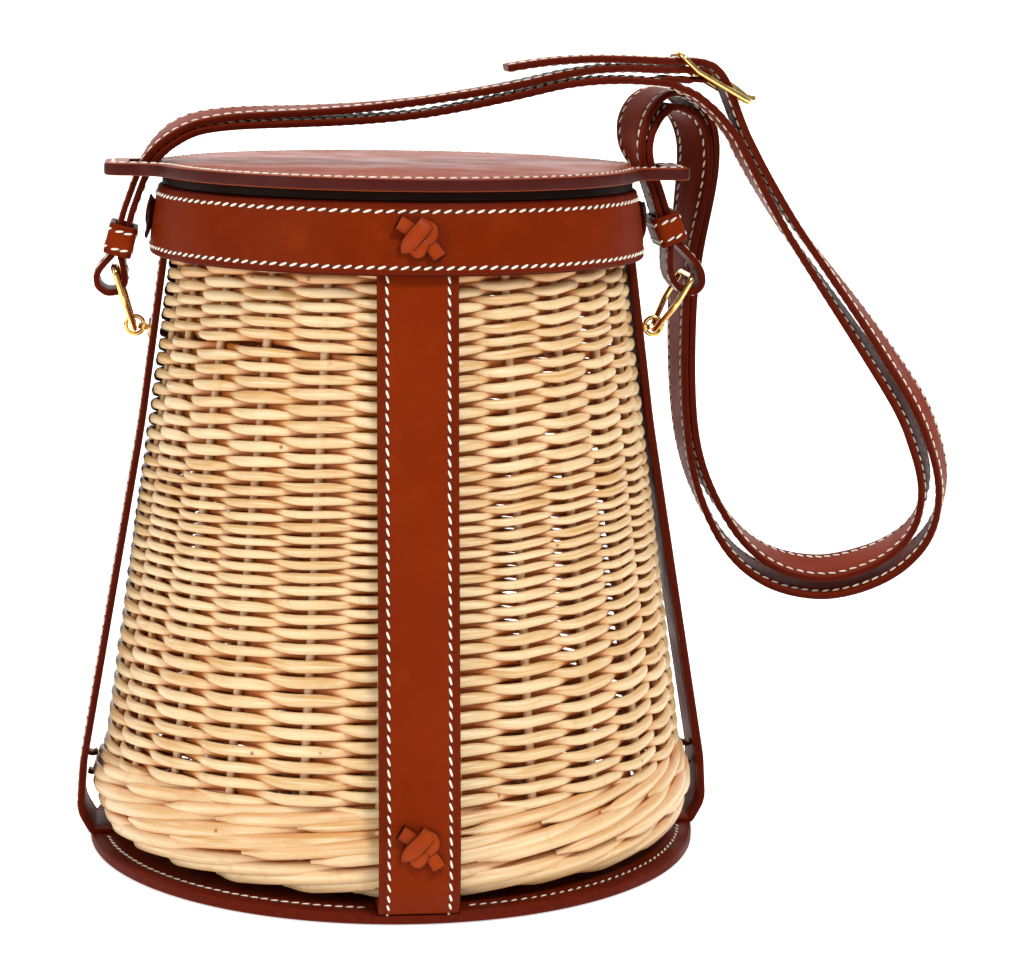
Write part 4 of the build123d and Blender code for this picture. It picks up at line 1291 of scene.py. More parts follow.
@dataclass
class Collar:
    """The collar, the lid, the ring below the lid and the base plate, with their stitching."""

    finishes: Finishes
    seamstress: Seamstress
    bottom: float = 212.3
    top: float = 236.2
    outer_bottom: float = 0.0
    outer_top: float = 0.0
    bulge: float = 0.6
    row_inset: float = 2.9
    lid_top: float = 244.0
    lid_radius: float = 85.5
    ear_reach: float = 103.0
    ear_half: float = 15.5
    ear_root: float = 14.0
    ear_corner: float = 5.0
    base_radius: float = 110.0
    base_top: float = 4.3
    wall: float = 2.7
    play: float = 0.3
    strap_depth: float = 2.7
    strap_half: float = 13.5
    weave_foot: tuple[float, float] = (105.4, 34.0)
    weave_top: tuple[float, float] = (78.0, 233.0)
    lip_radius: float = 72.4
    lip_depth: float = 8.8
    flange_height: float = 3.4
    stitch_inset: float = 5.2
    stitch_sink: float = 0.16
    seat_inset: float = 7.3
    seat_size: tuple[float, float, float] = (15.8, 27.6, 4.0)
    slot_reach: float = 88.887
    slot_size: tuple[float, float, float] = (11.3, 20.6, 8.0)
    turner: Turner = field(default_factory=Turner)

    def __post_init__(self) -> None:
        """Work out the collar's outer radii from the straps that it covers."""
        (foot, foot_height), (top, top_height) = self.weave_foot, self.weave_top
        slope = (foot - top) / (top_height - foot_height)

        def outer(height: float) -> float:
            weave = foot - slope * (height - foot_height)
            return math.hypot(weave + self.strap_depth, self.strap_half) + self.play + self.wall

        self.outer_bottom, self.outer_top = outer(self.bottom), outer(self.top)

    def collar_radius(self, height: float) -> float:
        """Radius of the collar's bulged face at a height."""
        t = (height - self.bottom) / (self.top - self.bottom)
        return self.outer_bottom + t * (self.outer_top - self.outer_bottom) + self.bulge * 4 * t * (1 - t)

    def sew_collar(self) -> None:
        """Two rows round the collar."""
        slope = math.atan2(self.outer_bottom - self.outer_top, self.top - self.bottom)
        rows = []
        for height, lean in ((self.bottom + self.row_inset, -0.10), (self.top - self.row_inset, 0.10)):
            radius = self.collar_radius(height)
            count = int(round(2 * math.pi * radius / self.seamstress.pitch))
            turns = np.arange(count + 1) * 2 * math.pi / count
            tilt = slope + lean

            def normal(turn: float, tilt: float = tilt) -> Vector:
                return Vector((math.cos(turn) * math.cos(tilt), math.sin(turn) * math.cos(tilt), math.sin(tilt)))

            rows.append(self.seamstress.ring(lambda t, r=radius: r + 0.02, height, normal, 20, turns))
        for piece in self.seamstress.sew("collar", rows):
            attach(piece, "basket_body")

    def lid_outline(self, inset: float, spacing: float = 0.0) -> np.ndarray:
        """The lid's outline with its ears, moved in by an inset.

        Args:
            inset: distance in from the cut edge.
            spacing: distance between points, if not the stitches' own.

        Returns:
            Points round the lid, anticlockwise, evenly spaced.
        """
        r, e, h = self.lid_radius - inset, self.ear_reach - inset, self.ear_half - inset
        root, corner = self.ear_root + inset, max(self.ear_corner - inset, 0.8)
        reach = math.sqrt((r + root) ** 2 - (h + root) ** 2)
        touch = math.atan2(h + root, reach)
        quarter = [(e, y) for y in np.linspace(0, h - corner, 6)]
        for a in np.linspace(0, math.pi / 2, 7)[1:]:
            quarter.append((e - corner + corner * math.cos(a), h - corner + corner * math.sin(a)))
        for a in np.linspace(-math.pi / 2, touch - math.pi, 9):
            quarter.append((reach + root * math.cos(a), h + root + root * math.sin(a)))
        for a in np.linspace(touch, math.pi / 2, 40)[1:]:
            quarter.append((r * math.cos(a), r * math.sin(a)))
        q = np.array(quarter)
        loop = np.concatenate(
            [q, (q * [-1, 1])[::-1][1:], (q * [-1, -1])[1:], (q * [1, -1])[::-1][1:]]
        )
        run = np.concatenate([[0], np.cumsum(np.linalg.norm(np.diff(loop, axis=0), axis=1))])
        count = int(round(run[-1] / (spacing or self.seamstress.pitch)))
        at = np.linspace(0, run[-1], count + 1)
        return np.stack([np.interp(at, run, loop[:, 0]), np.interp(at, run, loop[:, 1])], axis=1)

    def flat_row(self, line: np.ndarray, height: float, slant: float) -> tuple[np.ndarray, np.ndarray, np.ndarray]:
        """A stitch row on a level face, along a line."""
        middle = np.concatenate([line, np.full((len(line), 1), height)], axis=1)
        along = unit(np.gradient(middle, axis=0))
        up = np.broadcast_to(np.array([0.0, 0.0, 1.0]), middle.shape)
        side = np.cross(up, along)
        return middle, unit(along + side * math.tan(math.radians(slant))), up.copy()

    def turned_pieces(self) -> None:
        """Make the collar, the ring below the lid, the base plate and the lid."""
        wall, low, high = self.wall, self.bottom, self.top
        inner = (self.outer_bottom + self.outer_top) / 2 - wall
        face = [(self.collar_radius(h), h) for h in (low + 6, (low + high) / 2, high - 6)]
        collar = self.turner.turn(
            "collar_band",
            [(inner, (low + high) / 2), (self.outer_bottom - wall, low), (self.outer_bottom, low), *face]
            + [(self.outer_top, high), (self.outer_top - wall, high), (inner, (low + high) / 2)],
            (0.7, 1.1, 40, 40, 40, 1.1, 0.7),
        )
        flange, lip, lip_end = (high + 0.2, high + self.flange_height), self.lip_radius, high - self.lip_depth
        ring = self.turner.turn(
            "lid_underlay",
            [(lip - 1.2, lip_end), (lip, lip_end), (lip, flange[0]), (self.outer_top - 1.4, flange[0])]
            + [(self.outer_top - 1.4, flange[1]), (lip - 2.4, flange[1]), (lip - 2.4, lip_end), (lip - 1.2, lip_end)],
            (0.5, 0.3, 0.4, 0.4, 0.4, 0.5),
        )
        r, t = self.base_radius, self.base_top
        groove = (r - self.stitch_inset, t - self.stitch_sink)
        base = self.turner.turn(
            "base_plate",
            [(0, t / 2), (0, 0), (r, 0), (r, t), (r - 4.6, t), groove, (r - 5.8, t), (0, t), (0, t / 2)],
            (0.0, 1.0, 1.0, 0.0, 0.0, 0.0, 0.0),
        )
        for angle in SIDES.values():
            self.turner.cut(base, (r - self.seat_inset, 0, 5.2), self.seat_size, math.radians(angle))
        lid = self.turner.plate("lid_plate", self.lid_outline(0.0, 1.9)[:-1], flange[1], self.lid_top, 0.9)
        for sign in (-1, 1):
            self.turner.cut(lid, (sign * self.slot_reach, 0, self.lid_top - 2), self.slot_size, corner=1.5)
        for piece, material, node, body, slot in (
            (collar, self.finishes.collar_leather, "collar", "basket_body", "leather"),
            (ring, self.finishes.underlay_dark_and_shade, "lid_ring", "lid_body", "dark_leather"),
            (base, self.finishes.base_leather_painted_shade, "base_disc", "basket_body", "leather"),
            (lid, self.finishes.lid_leather, "lid", "lid_body", "leather"),
        ):
            smooth_by_angle(piece, 35)
            dress(piece, material)
            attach(piece, body)
            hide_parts(node)
            log.info("%s: %d faces", piece.name, len(piece.data.polygons))

    def build(self) -> None:
        """Make the flat leather pieces and sew them."""
        self.turned_pieces()
        self.sew_collar()
        lid_row = self.flat_row(self.lid_outline(3.0), self.lid_top + 0.03, 20)
        for piece in self.seamstress.sew("lid", [lid_row]):
            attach(piece, "lid_body")
        radius = self.base_radius - self.stitch_inset
        count = int(round(2 * math.pi * radius / self.seamstress.pitch))
        turns = np.arange(count + 1) * 2 * math.pi / count
        line = np.stack([radius * np.cos(turns), radius * np.sin(turns)], axis=1)
        clear = np.minimum(np.abs(line[:, 0]), np.abs(line[:, 1])) > 15.5
        row = self.flat_row(line, self.base_top - self.stitch_sink, 20)
        starts = [0] + [i for i in range(1, len(clear)) if clear[i] != clear[i - 1]] + [len(clear)]
        rows = [tuple(v[a:b] for v in row) for a, b in zip(starts, starts[1:]) if clear[a] and b - a > 1]
        for piece in self.seamstress.sew("base", rows):
            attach(piece, "basket_body")
        log.info("collar, lid and base are dressed and sewn")


# ---------------------------------------------------------------- laces


@dataclass
class Laces:
    """The knotted laces on the collar and the straps' feet, and the ties behind the side straps."""

    finishes: Finishes
    thickness: float = 1.50
    tie_heights: tuple[float, ...] = (24.0, 31.0)
    facing_lift: float = 1.12
    side_lift: float = 0.70
    seats: dict[str, tuple[float, float, float]] = field(
        default_factory=lambda: {"collar": (86.45, 224.0, 0.135), "foot": (113.40, 27.0, 0.0866)}
    )

    def knot(
        self, name: str, centre: Vector, right: Vector, out: Vector, spin: float, lift: float
    ) -> bpy.types.Object:
        """Tie one flat overhand knot.

        Args:
            name: the piece's name.
            centre: the middle of its seat.
            right: the direction to its right.
            out: the direction away from the seat.
            spin: degrees that it is turned on the seat.
            lift: how proud its turns stand, where 1 is the usual.

        Returns:
            The knot.
        """
        turned = right.copy()
        turned.rotate(Matrix.Rotation(math.radians(spin), 3, out))
        up = out.cross(turned)
        strips = (
            (((-7.2, 6.0, 2.1), (-5.2, 4.9, 1.6), (-3.0, 3.4, 1.3), (-1.0, 1.8, 0.9)), 5.2),
            (
                ((-3.6, -3.6, 0.5), (-3.6, -1.6, 1.9), (-2.0, 0.8, 2.75))
                + ((0.3, 3.4, 2.75), (1.9, 5.3, 2.0), (2.3, 5.9, 0.6)),
                5.7,
            ),
            (((1.6, 4.9, 0.6), (3.6, 3.9, 1.55), (3.9, 1.9, 1.9), (2.4, 0.2, 1.6), (0.6, -0.8, 0.8)), 4.6),
            (((-2.4, -2.0, 0.6), (-0.9, -3.9, 1.3), (0.2, -3.2, 1.75), (1.0, -1.0, 1.7), (1.4, 1.2, 0.9)), 4.4),
            (((1.0, 1.0, 0.8), (3.2, -1.2, 1.15), (5.0, -3.4, 1.35), (6.6, -5.8, 2.0)), 5.0),
        )
        pieces = []
        for number, (rows, width) in enumerate(strips):
            line = catmull(rows, 5)
            path = np.array([list(centre + turned * x + up * y + out * (lift * z)) for x, y, z in line])
            ahead = np.gradient(line, axis=0)
            wide = np.stack([-ahead[:, 1], ahead[:, 0], np.zeros(len(line))], axis=1)
            across = np.array([list(turned * x + up * y) for x, y, _ in unit(wide)])
            # the laces' dark edges reach far onto the rounding: painted shade around the knot's turns on top of the
            # dyed edge
            strip = Ribbon(
                path,
                across,
                np.array(out[:]),
                width,
                self.thickness * min(1.0, lift),
                press=0.0,
                crown=0.15,
                margin=0.12,
                edge_radius=0.55,
                edge_dye_and_shade=0.7,
                dark_ends=True,
            )
            pieces.append(strip.build(f"{name}_{number}"))
        deselect()
        for piece in pieces:
            piece.select_set(True)
        bpy.context.view_layer.objects.active = pieces[0]
        bpy.ops.object.join()
        tied = bpy.context.object
        tied.name = name
        return dress(tied, self.finishes.lace)

    def build(self) -> None:
        """Tie every knot and dress the ties."""
        spins = {"front": 0.0, "right": 7.0, "back": -9.0, "left": 4.0}
        for side, angle in SIDES.items():
            self.tie(side, "collar", math.radians(angle), spins[side])
        for side in ("front", "back"):
            self.tie(side, "foot", math.radians(SIDES[side]), spins[side] - 4)
        for side in ("left", "right"):
            self.foot_ties(side)

    def tie(self, side: str, where: str, angle: float, spin: float) -> None:
        """Tie a knot on its seat on the collar or on a strap's foot.

        Args:
            side: the side of the bag.
            where: collar or foot.
            angle: the side's angle round the bag.
            spin: degrees that the knot is turned on its seat.
        """
        reach, height, slope = self.seats[where]
        out = Vector((math.cos(angle) * math.cos(slope), math.sin(angle) * math.cos(slope), math.sin(slope)))
        centre = Vector((math.cos(angle) * reach, math.sin(angle) * reach, height))
        right = Vector((-math.sin(angle), math.cos(angle), 0))
        lift = self.side_lift if side in ("left", "right") else self.facing_lift
        self.seat(self.knot(f"{side}_{where}_lace", centre, right, out, spin, lift), f"{side}_{where}_knot")

    def foot_ties(self, side: str) -> None:
        """Two short laces from a side strap to the weave, each bowed a little."""
        low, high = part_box(f"{side}_foot_ties")
        sign = 1 if side == "right" else -1
        near, far = sorted((abs(low.x) / MM, abs(high.x) / MM))
        pieces = []
        for number, height in enumerate(self.tie_heights):
            t = np.linspace(0, 1, 7)
            reach = near - 0.8 + (far - near + 1.0) * t
            path = np.stack([sign * reach, 0 * t, height - 0.5 * np.sin(math.pi * t)], axis=1)
            strip = Ribbon(path, np.array([0.0, 1, 0]), np.array([0.0, 0, 1]), 5.2, self.thickness, press=0.0)
            pieces.append(strip.build(f"{side}_foot_tie_{number}"))
        deselect()
        for piece in pieces:
            piece.select_set(True)
        bpy.context.view_layer.objects.active = pieces[0]
        bpy.ops.object.join()
        tied = dress(bpy.context.object, self.finishes.lace)
        tied.name = f"{side}_foot_laces"
        self.seat(tied, f"{side}_foot_ties")

    @staticmethod
    def seat(knot: bpy.types.Object, node: str) -> None:
        """Hand a knot to the basket in place of its plain solid."""
        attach(knot, "basket_body")
        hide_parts(node)
        log.info("%s: %d faces", knot.name, len(knot.data.polygons))


# ---------------------------------------------------------------- shoulder strap


BeltRows = Sequence[tuple[np.ndarray, np.ndarray, float]]


@dataclass(frozen=True)
class StrapEnd:
    """Where a keeper lies and how the strap's end loop turns below it."""

    body: str
    middle: tuple[float, float]
    lean: float
    sign: int
    loop_length: float
    loop_half: float
    loop_shift: float

    def up(self) -> np.ndarray:
        """Direction up the strap through the keeper."""
        rise = math.radians(self.lean)
        return np.array([-self.sign * math.sin(rise), 0.0, math.cos(rise)])

    def outward(self) -> np.ndarray:
        """Direction across the pair of layers, towards +X."""
        return unit(np.cross(np.array([0.0, 1.0, 0.0]), self.up()))

    def at(self, x: float, along: float) -> np.ndarray:
        """A place beside and above the keeper's middle."""
        return np.array([self.middle[0], 0.0, self.middle[1]]) + self.outward() * x + self.up() * along


@dataclass
class ShoulderStrap:
    """One long stitched belt, doubled through both links, with its two keepers."""

    finishes: Finishes
    seamstress: Seamstress
    width: float = 19.0
    thickness: float = 2.4
    end_slim: float = 0.35
    skived: float = 1.2
    gap: float = 0.4
    keeper_height: float = 11.0
    keeper_wall: float = 2.0
    buckle_bar: tuple[float, float, float] = (106.4, -7.0, 276.2)
    bar_size: float = 1.8
    inset: float = 2.7
    left: StrapEnd = StrapEnd("left", (-97.5, 216.8), 14.7, -1, 13.4, 4.9, 0.0)
    right: StrapEnd = StrapEnd("right", (96.3, 222.0), 21.0, 1, 19.0, 5.2, 1.4)
    left_route: tuple[tuple[float, ...], ...] = (
        (-94.6, 0.0, 227.4, 0, 0.4),
        (-91.2, 0.0, 236.6, 0, 0.4),
        (-88.9, 0.0, 241.8, 0, 0.4),
        (-84.8, 0.0, 248.0, 4, 0.4),
        (-78.5, 0.0, 253.6, 8, 0.4),
        (-70.0, -0.5, 257.4, 8, 0.4),
        (-56.0, -1.0, 259.3, 6, 0.9),
        (-35.5, -1.5, 260.2, 4, 1.2),
        (-15.0, -2.2, 261.4, 2, 1.7),
        (6.5, -3.0, 263.7, 0, 2.1),
        (27.0, -4.0, 267.4, 0, 1.6),
        (44.5, -5.0, 271.2, 0, 1.1),
        (57.0, -5.6, 274.2, 0, 1.1),
        (70.0, -6.2, 276.1, 0, 1.6),
        (81.0, -6.8, 276.5, 0, 1.9),
    )
    right_route: tuple[tuple[float, ...], ...] = (
        (120.0, -7.0, 256.2, 0, 1.2),
        (127.0, -7.0, 243.5, 0, 1.0),
        (141.0, -7.0, 222.0, 6, 1.9),
        (163.5, -7.0, 192.5, 16, 3.2),
        (184.5, -6.0, 163.5, 23, 3.7),
        (193.0, -5.0, 147.5, 25, 4.0),
        (198.2, -3.4, 130.5, 23, 4.0),
        (196.6, -2.0, 115.2, 14, 4.2),
        (189.3, -0.8, 104.6, 2, 4.5),
        (177.0, 0.4, 97.0, -9, 4.7),
        (160.0, 2.2, 92.6, -15, 4.8),
        (143.0, 5.0, 94.8, -14, 4.9),
        (130.0, 8.0, 102.4, -10, 4.6),
        (120.6, 11.2, 114.2, -5, 3.4),
        (113.6, 14.4, 128.5, 0, 1.8),
        (109.6, 16.6, 143.0, 4, 0.6),
        (107.8, 19.0, 160.0, 6, 0.4),
        (107.4, 21.6, 180.0, 8, 0.4),
        (107.8, 22.9, 198.0, 10, 0.4),
        (108.9, 22.6, 215.0, 16, 0.4),
        (110.4, 21.4, 230.0, 24, 0.4),
        (111.3, 20.2, 241.0, 28, 0.5),
        (111.0, 19.0, 251.5, 28, 0.9),
        (108.6, 18.2, 259.6, 24, 1.7),
        (104.0, 16.6, 265.0, 12, 2.4),
        (97.8, 13.4, 267.3, 0, 2.9),
        (92.0, 9.6, 265.8, -14, 2.8),
        (87.6, 6.0, 260.6, -22, 2.5),
        (86.0, 2.8, 253.4, -18, 1.6),
        (87.0, 0.6, 246.6, -6, 0.7),
        (88.9, 0.0, 241.8, 0, 0.4),
        (91.0, 0.0, 236.6, 0, 0.4),
        (93.3, 0.0, 230.0, 0, 0.4),
    )
    inner_at_buckle: tuple[tuple[float, ...], ...] = ((93.0, -7.0, 273.6), (103.5, -7.0, 269.6), (112.0, -7.0, 262.8))
    fold_approach: tuple[tuple[float, ...], ...] = ((90.0, -7.0, 278.3), (98.0, -7.0, 278.4))
    tip_route: tuple[tuple[float, ...], ...] = (
        (37.0, -5.0, 278.0),
        (50.0, -5.3, 280.2),
        (66.0, -6.0, 281.6),
        (82.0, -6.8, 281.6),
        (95.0, -7.0, 281.2),
        (103.0, -7.0, 281.3),
        (109.2, -7.0, 279.8),
        (113.4, -7.0, 275.6),
        (116.4, -7.0, 269.4),
        (119.2, -7.0, 262.6),
    )

    def pair(self, rows: np.ndarray) -> list[tuple[np.ndarray, np.ndarray, np.ndarray, float]]:
        """Middle, outward normal, width direction and gap at each row of a pair's route."""
        out = []
        for i, row in enumerate(rows):
            along = unit(rows[min(i + 1, len(rows) - 1)][:3] - rows[max(i - 1, 0)][:3])
            level = unit(np.array([0, 1, 0]) - along * along[1])
            normal = np.cross(along, level)
            twist = math.radians(row[3])
            across = level * math.cos(twist) + normal * math.sin(twist)
            outward = normal * math.cos(twist) - level * math.sin(twist)
            out.append((row[:3], outward, across, float(row[4])))
        return out

    def layer(self, pair: Sequence[tuple], side: int) -> BeltRows:
        """One layer of a pair, on its outer (1) or inner (-1) side."""
        return [(p + o * (side * (self.thickness + g) / 2), w, self.thickness) for p, o, w, g in pair]

    def end_loop(self, end: StrapEnd) -> BeltRows:
        """The strap's turn round a link, from the layer on +X to the other."""
        start, length, wide = (self.thickness + self.gap) / 2, end.loop_length, end.loop_half
        half = [
            (start, 0.0),
            (start + 0.2 * wide, 0.14 * length),
            (wide * 0.86, 0.42 * length),
            (wide, 0.66 * length),
            (wide * 0.7, 0.9 * length),
        ]
        whole = half + [(0.0, length)] + [(-x, s) for x, s in reversed(half)]
        level = np.array([0.0, 1.0, 0.0])
        rows = []
        for x, s in catmull(whole, 2):
            place = end.at(x + end.loop_shift * (s / length) ** 2, -self.keeper_height / 2 - s)
            rows.append((place, level, self.thickness))
        return rows

    def keeper_rows(self, end: StrapEnd) -> list[tuple[float, ...]]:
        """The pair's straight run through a keeper, from foot to head."""
        return [(*end.at(0, h * self.keeper_height / 2), 0, self.gap) for h in (-1, 1)]

    def single(self, rows: Sequence[Sequence[float]]) -> BeltRows:
        """A level-edged single layer along rows."""
        return [(p, np.array([0.0, 1.0, 0.0]), self.thickness) for p in catmull(rows, 2)]

    def whole_belt(self) -> BeltRows:
        """The belt from its tail at the buckle to its tip: place, width direction and thickness."""
        level = np.array([0.0, 1.0, 0.0])
        bar = np.array(self.buckle_bar)
        radius = self.bar_size / 2 + 0.2 + self.skived / 2
        left = self.pair(catmull(self.keeper_rows(self.left) + list(self.left_route), 2))
        right = self.pair(catmull(list(self.right_route) + list(reversed(self.keeper_rows(self.right))), 2))
        rows = [(bar + np.array([-x, 0, -radius + 0.04 * x]), level, self.skived) for x in (15.0, 9.0, 4.0)]
        for angle in (-100, -60, -20, 20, 60, 100):
            a = math.radians(angle)
            rows.append((bar + radius * np.array([math.cos(a), 0, math.sin(a)]), level, self.skived))
        rows += self.single(list(reversed(self.fold_approach)))
        rows += list(reversed(self.layer(left, 1)))
        rows += list(reversed(self.end_loop(self.left)))[1:-1]
        rows += self.layer(left, -1)
        rows += self.single(self.inner_at_buckle)
        rows += self.layer(right, -1)
        rows += list(reversed(self.end_loop(self.right)))[1:-1]
        rows += list(reversed(self.layer(right, 1)))
        rows += self.single(list(reversed(self.tip_route)))
        return rows

    def stretches(self) -> list[tuple[str, BeltRows]]:
        """The belt cut inside the lid's slots, so that its ends can stay when the lid lifts."""
        rows = self.whole_belt()
        cuts = []
        for i in range(1, len(rows)):
            a, b = rows[i - 1][0], rows[i][0]
            if (a[2] - 241.5) * (b[2] - 241.5) <= 0 and 80 < abs(b[0]) < 95 and abs(b[1]) < 3:
                cuts.append(i)
        log.info("the belt passes the lid's slots at rows %s", cuts)
        names = ("strap_tail_run", "strap_left_end", "strap_middle_run", "strap_right_end", "strap_tip_run")
        edges = [0] + cuts + [len(rows) - 1]
        return [(name, rows[a : b + 1]) for name, a, b in zip(names, edges, edges[1:])]

    def in_keeper(self, name: str, rows: BeltRows, end: StrapEnd) -> list[tuple[str, BeltRows]]:
        """An end cut twice inside its keeper, into two legs and the turn between them.

        Args:
            name: the end's name.
            rows: the end's rows.
            end: the end itself.

        Returns:
            The first leg, the turn and the second leg, each with its rows.
        """
        height = end.at(0, 0)[2]
        cuts = [i for i in range(1, len(rows)) if (rows[i - 1][0][2] - height) * (rows[i][0][2] - height) <= 0]
        edges = [0, cuts[0], cuts[-1], len(rows) - 1]
        parts = ("first_leg", "turn", "second_leg")
        return [(f"{name}_{part}", rows[a : b + 1]) for part, a, b in zip(parts, edges, edges[1:])]

    def ribbon(self, rows: BeltRows, slim: float) -> Ribbon:
        """A smooth ribbon through a stretch's rows, thinner by slim where it turns round a link."""
        data = np.array([[*p, *w] for p, w, _ in rows])
        line = catmull(data, 3)
        facing = np.cross(line[1, :3] - line[0, :3], line[0, 3:])
        crown = 0.0 if slim else 0.10
        thickness = self.thickness - slim
        return Ribbon(line[:, :3], line[:, 3:], facing, self.width, thickness, inset=self.inset, crown=crown)

    @staticmethod
    def outside(ribbon: Ribbon) -> int:
        """Which face of an end's turn looks away from the link: 1 or -1."""
        lowest = int(np.argmin(ribbon.path[:, 2]))
        return 1 if ribbon.outward[lowest][2] < 0 else -1

    def taper_tail(self, piece: bpy.types.Object) -> None:
        """Thin the tail where it is skived and folded round the buckle's bar."""
        bar = Vector(self.buckle_bar) * MM
        rows = self.whole_belt()[:9]
        line = [Vector(p) * MM for p, _, _ in rows]
        for vertex in piece.data.vertices:
            near = min(line, key=lambda p: (p.x - vertex.co.x) ** 2 + (p.z - vertex.co.z) ** 2)
            flat = Vector((vertex.co.x - near.x, 0, vertex.co.z - near.z))
            if flat.length < 0.0019 and (vertex.co - bar).length < 0.022 and vertex.co.z < bar.z + 0.0024:
                share = self.skived / self.thickness
                vertex.co.x, vertex.co.z = near.x + flat.x * share, near.z + flat.z * share

    def keeper(self, end: StrapEnd) -> Ribbon:
        """A keeper's band round both layers."""
        x = (2 * self.thickness + self.gap + 0.6 + self.keeper_wall) / 2
        y = (self.width + 0.6 + self.keeper_wall) / 2
        corner = 1.7
        turns = []
        for cx, cy, begin in ((x, y, 0), (-x, y, 90), (-x, -y, 180), (x, -y, 270)):
            centre = (cx - math.copysign(corner, cx), cy - math.copysign(corner, cy))
            for a in range(begin, begin + 91, 15):
                r = math.radians(a)
                turns.append((centre[0] + corner * math.cos(r), centre[1] + corner * math.sin(r)))
        dense = []
        for i, point in enumerate(turns):
            after = turns[(i + 1) % len(turns)]
            count = max(1, int(math.dist(point, after) / 1.6))
            for k in range(count):
                t = k / count
                dense.append((point[0] + (after[0] - point[0]) * t, point[1] + (after[1] - point[1]) * t))
        path = np.array([end.at(px, 0) + np.array([0, py, 0]) for px, py in dense])
        facing = path[0] - end.at(0, 0)
        return Ribbon(path, end.up(), facing, self.keeper_height, self.keeper_wall, closed=True, inset=2.4)

    def stretch(
        self,
        name: str,
        rows: BeltRows,
        slim: float,
        faces: Sequence[int],
        start: float,
    ) -> list[bpy.types.Object]:
        """Make one stretch of the belt and sew it.

        Args:
            name: the piece's name.
            rows: its rows.
            slim: how much thinner than the belt it is.
            faces: which faces show stitches.
            start: distance of the first stitch from its start.

        Returns:
            The strip and its stitching.
        """
        ribbon = self.ribbon(rows, slim)
        piece = dress(ribbon.build(name), self.finishes.leather)
        if name == "strap_tail_run":
            self.taper_tail(piece)
        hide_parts("shoulder_strap")
        log.info("%s: %d rows, %.0f mm", name, len(rows), ribbon.run[-1])
        return [piece] + self.seamstress.sew(name, self.seamstress.rows_on(ribbon, -17, faces, start, 1.9))

    def join_end(self, piece: bpy.types.Object, end: StrapEnd, turn: bool) -> None:
        """Bake a leg's or a turn's place into its mesh."""
        if turn:
            low = Vector(end.at(0, -self.keeper_height / 2 - end.loop_length)) * MM
            high = Vector(end.at(0, -self.keeper_height / 2)) * MM
            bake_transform(piece)
        else:
            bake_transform(piece)

    def build(self) -> None:
        """Make the belt's stretches and the keepers, and sew them."""
        for name, rows in self.stretches():
            if name.endswith("end"):
                end = self.left if "left" in name else self.right
                faces = (self.outside(self.ribbon(rows, self.end_slim)),)
                for part, part_rows in self.in_keeper(name, rows, end):
                    for piece in self.stretch(part, part_rows, self.end_slim, faces, 2.0):
                        self.join_end(piece, end, part.endswith("turn"))
            else:
                tail = name == "strap_tail_run"
                for piece in self.stretch(name, rows, 0.0, (1, -1), 30.0 if tail else 2.0):
                    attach(piece, "lid_body")
        for end in (self.left, self.right):
            band = self.keeper(end)
            piece = dress(band.build(f"{end.body}_strap_keeper"), self.finishes.leather)
            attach(piece, f"{end.body}_keeper_body")
            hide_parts(f"{end.body}_keeper")
            stitches = self.seamstress.rows_on(band, -17, start=1.0, stop=1.0, pitch=3.0)
            for part in self.seamstress.sew(f"{end.body}_keeper", stitches):
                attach(part, f"{end.body}_keeper_body")


# ---------------------------------------------------------------- brass


@dataclass
class BrassWork:
    """Studs, rings, links and the buckle."""

    finishes: Finishes
    nodes: tuple[str, ...] = (
        "left_ring_stud",
        "right_ring_stud",
        "left_ring",
        "right_ring",
        "left_link",
        "right_link",
        "buckle_frame",
        "buckle_prong",
    )

    def build(self) -> None:
        """Dress every brass piece."""
        for name in self.nodes:
            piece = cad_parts[name]
            dress(piece, self.finishes.brass)
            piece.data.shade_smooth()
            log.info("%s is brass", name)


# ---------------------------------------------------------------- studio


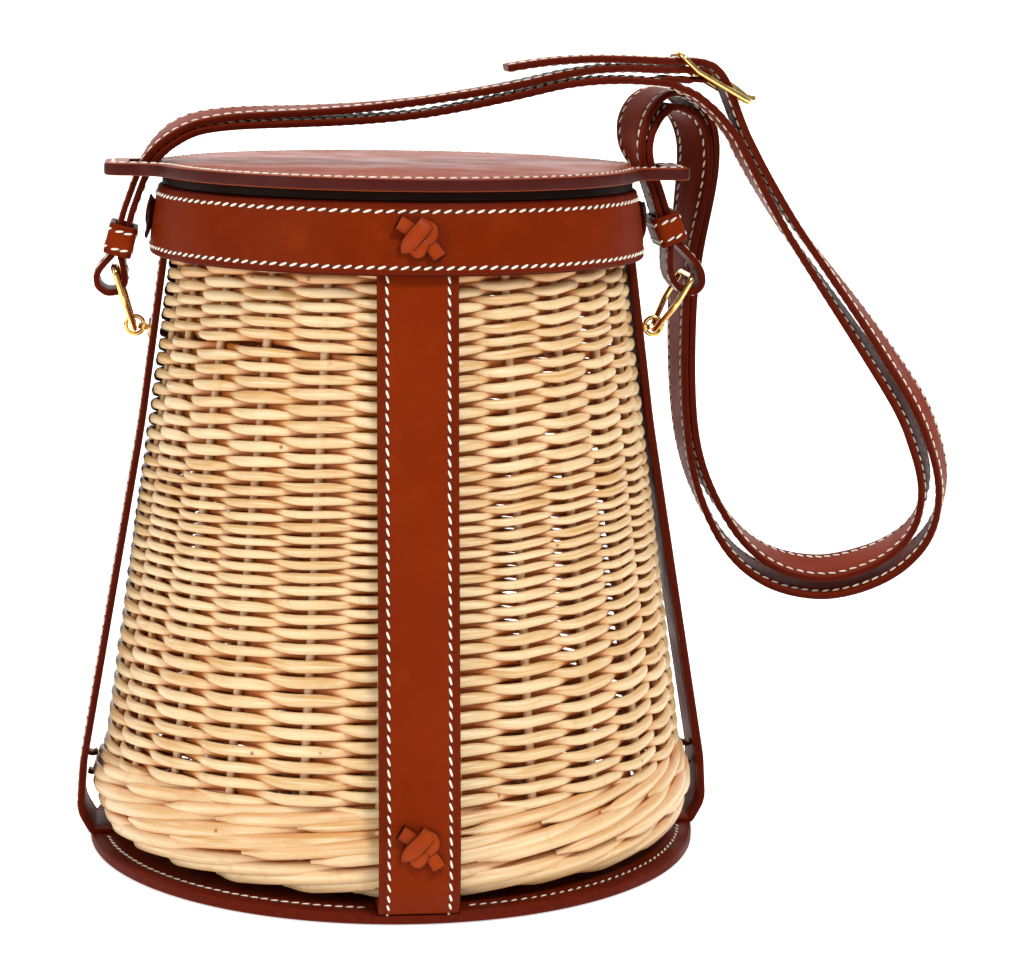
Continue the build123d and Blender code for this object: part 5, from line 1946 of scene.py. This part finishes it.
@dataclass
class Studio:
    """The pale floor, the soft lights and the camera."""

    eye: tuple[float, float, float] = (-80.1, -982.2, 301.4)
    forward: tuple[float, float, float] = (0.12190, 0.97725, -0.17354)
    right: tuple[float, float, float] = (0.99253, -0.12088, 0.01645)
    lens: float = 97.3
    floor_size: float = 7.0
    wall_height: float = 3.5
    daylight: float = 0.25

    def camera(self) -> None:
        """Place the camera."""
        data = bpy.data.cameras.new("view")
        data.lens = self.lens
        data.sensor_width = 36.0
        data.sensor_fit = "HORIZONTAL"
        data.clip_start, data.clip_end = 0.05, 50.0
        camera = bpy.data.objects.new("view", data)
        bpy.context.scene.collection.objects.link(camera)
        ahead = Vector(self.forward).normalized()
        side = (Vector(self.right) - ahead * ahead.dot(Vector(self.right))).normalized()
        up = side.cross(ahead)
        turn = Matrix((side, up, -ahead)).transposed().to_4x4()
        camera.matrix_world = Matrix.Translation(Vector(self.eye) * MM) @ turn
        bpy.context.scene.camera = camera

    def light(self, name: str, place: tuple, target: tuple, size: tuple, power: float, colour: tuple) -> None:
        """Hang one soft box.

        Args:
            name: the light's name.
            place: its middle, in metres.
            target: where it points, in metres.
            size: its width and height, in metres.
            power: its power in watts.
            colour: its colour.
        """
        data = bpy.data.lights.new(name, "AREA")
        data.shape = "RECTANGLE"
        data.size, data.size_y = size
        data.energy, data.color = power, colour
        lamp = bpy.data.objects.new(name, data)
        bpy.context.scene.collection.objects.link(lamp)
        lamp.location = place
        lamp.rotation_euler = (Vector(target) - Vector(place)).to_track_quat("-Z", "Y").to_euler()

    def build(self) -> None:
        """Set up the stage."""
        deselect()
        bpy.ops.mesh.primitive_plane_add(size=self.floor_size)
        sweep = bpy.context.object
        sweep.name = "studio_sweep"
        bpy.ops.object.mode_set(mode="EDIT")
        bpy.ops.mesh.select_all(action="SELECT")
        bpy.ops.transform.translate(value=(0, 0, -0.0004))
        bpy.ops.object.mode_set(mode="OBJECT")
        for edge in sweep.data.edges:
            ends = [sweep.data.vertices[v].co.y for v in edge.vertices]
            edge.select = min(ends) > 0.4 * self.floor_size
        for vertex in sweep.data.vertices:
            vertex.select = vertex.co.y > 0
        for face in sweep.data.polygons:
            face.select = False
        bpy.ops.object.mode_set(mode="EDIT")
        bpy.ops.mesh.select_mode(type="EDGE")
        bpy.ops.mesh.extrude_region_move(TRANSFORM_OT_translate={"value": (0, 0, self.wall_height)})
        bpy.ops.object.mode_set(mode="OBJECT")
        for edge in sweep.data.edges:
            ends = [sweep.data.vertices[v].co for v in edge.vertices]
            edge.select = all(p.y > 0 and p.z < 0.1 for p in ends)
        bpy.ops.object.mode_set(mode="EDIT")
        bpy.ops.mesh.bevel(offset=0.4 * self.wall_height, segments=16, affect="EDGES")
        bpy.ops.object.mode_set(mode="OBJECT")
        sweep.data.shade_smooth()
        dress(sweep, StageFinish().make())
        world = bpy.data.worlds.new("studio")
        bpy.context.scene.world = world
        world.use_nodes = True
        world.node_tree.nodes["Background"].inputs[0].default_value = (1, 1, 1, 1)
        world.node_tree.nodes["Background"].inputs[1].default_value = self.daylight
        middle = (0.02, 0, 0.14)
        self.light("key", (0.55, -1.05, 1.45), middle, (0.34, 0.34), 21.0, (1.0, 0.985, 0.96))
        self.light("fill", (-1.25, -0.75, 0.75), middle, (0.7, 0.9), 9.0, (1.0, 0.99, 0.98))
        self.light("top", (0.0, 0.35, 1.6), middle, (1.2, 0.9), 7.0, (1, 1, 1))
        self.light("wash", (0.0, 1.3, 2.2), (0, 3.0, 0.4), (3.0, 1.0), 60.0, (1, 1, 1))
        bpy.context.scene.view_settings.view_transform = "Standard"
        self.camera()
        log.info("the studio is set")


def main() -> None:
    """Build the bag's looks, piece by piece."""
    logging.basicConfig(level=logging.INFO, format="%(name)s: %(message)s")
    Studio().build()
    finishes = Finishes()
    seamstress = Seamstress(finishes)
    WillowBasket(finishes).build()
    SideStraps(finishes, seamstress).build()
    Collar(finishes, seamstress).build()
    Laces(finishes).build()
    ShoulderStrap(finishes, seamstress).build()
    BrassWork(finishes).build()


if __name__ == "__main__":
    main()
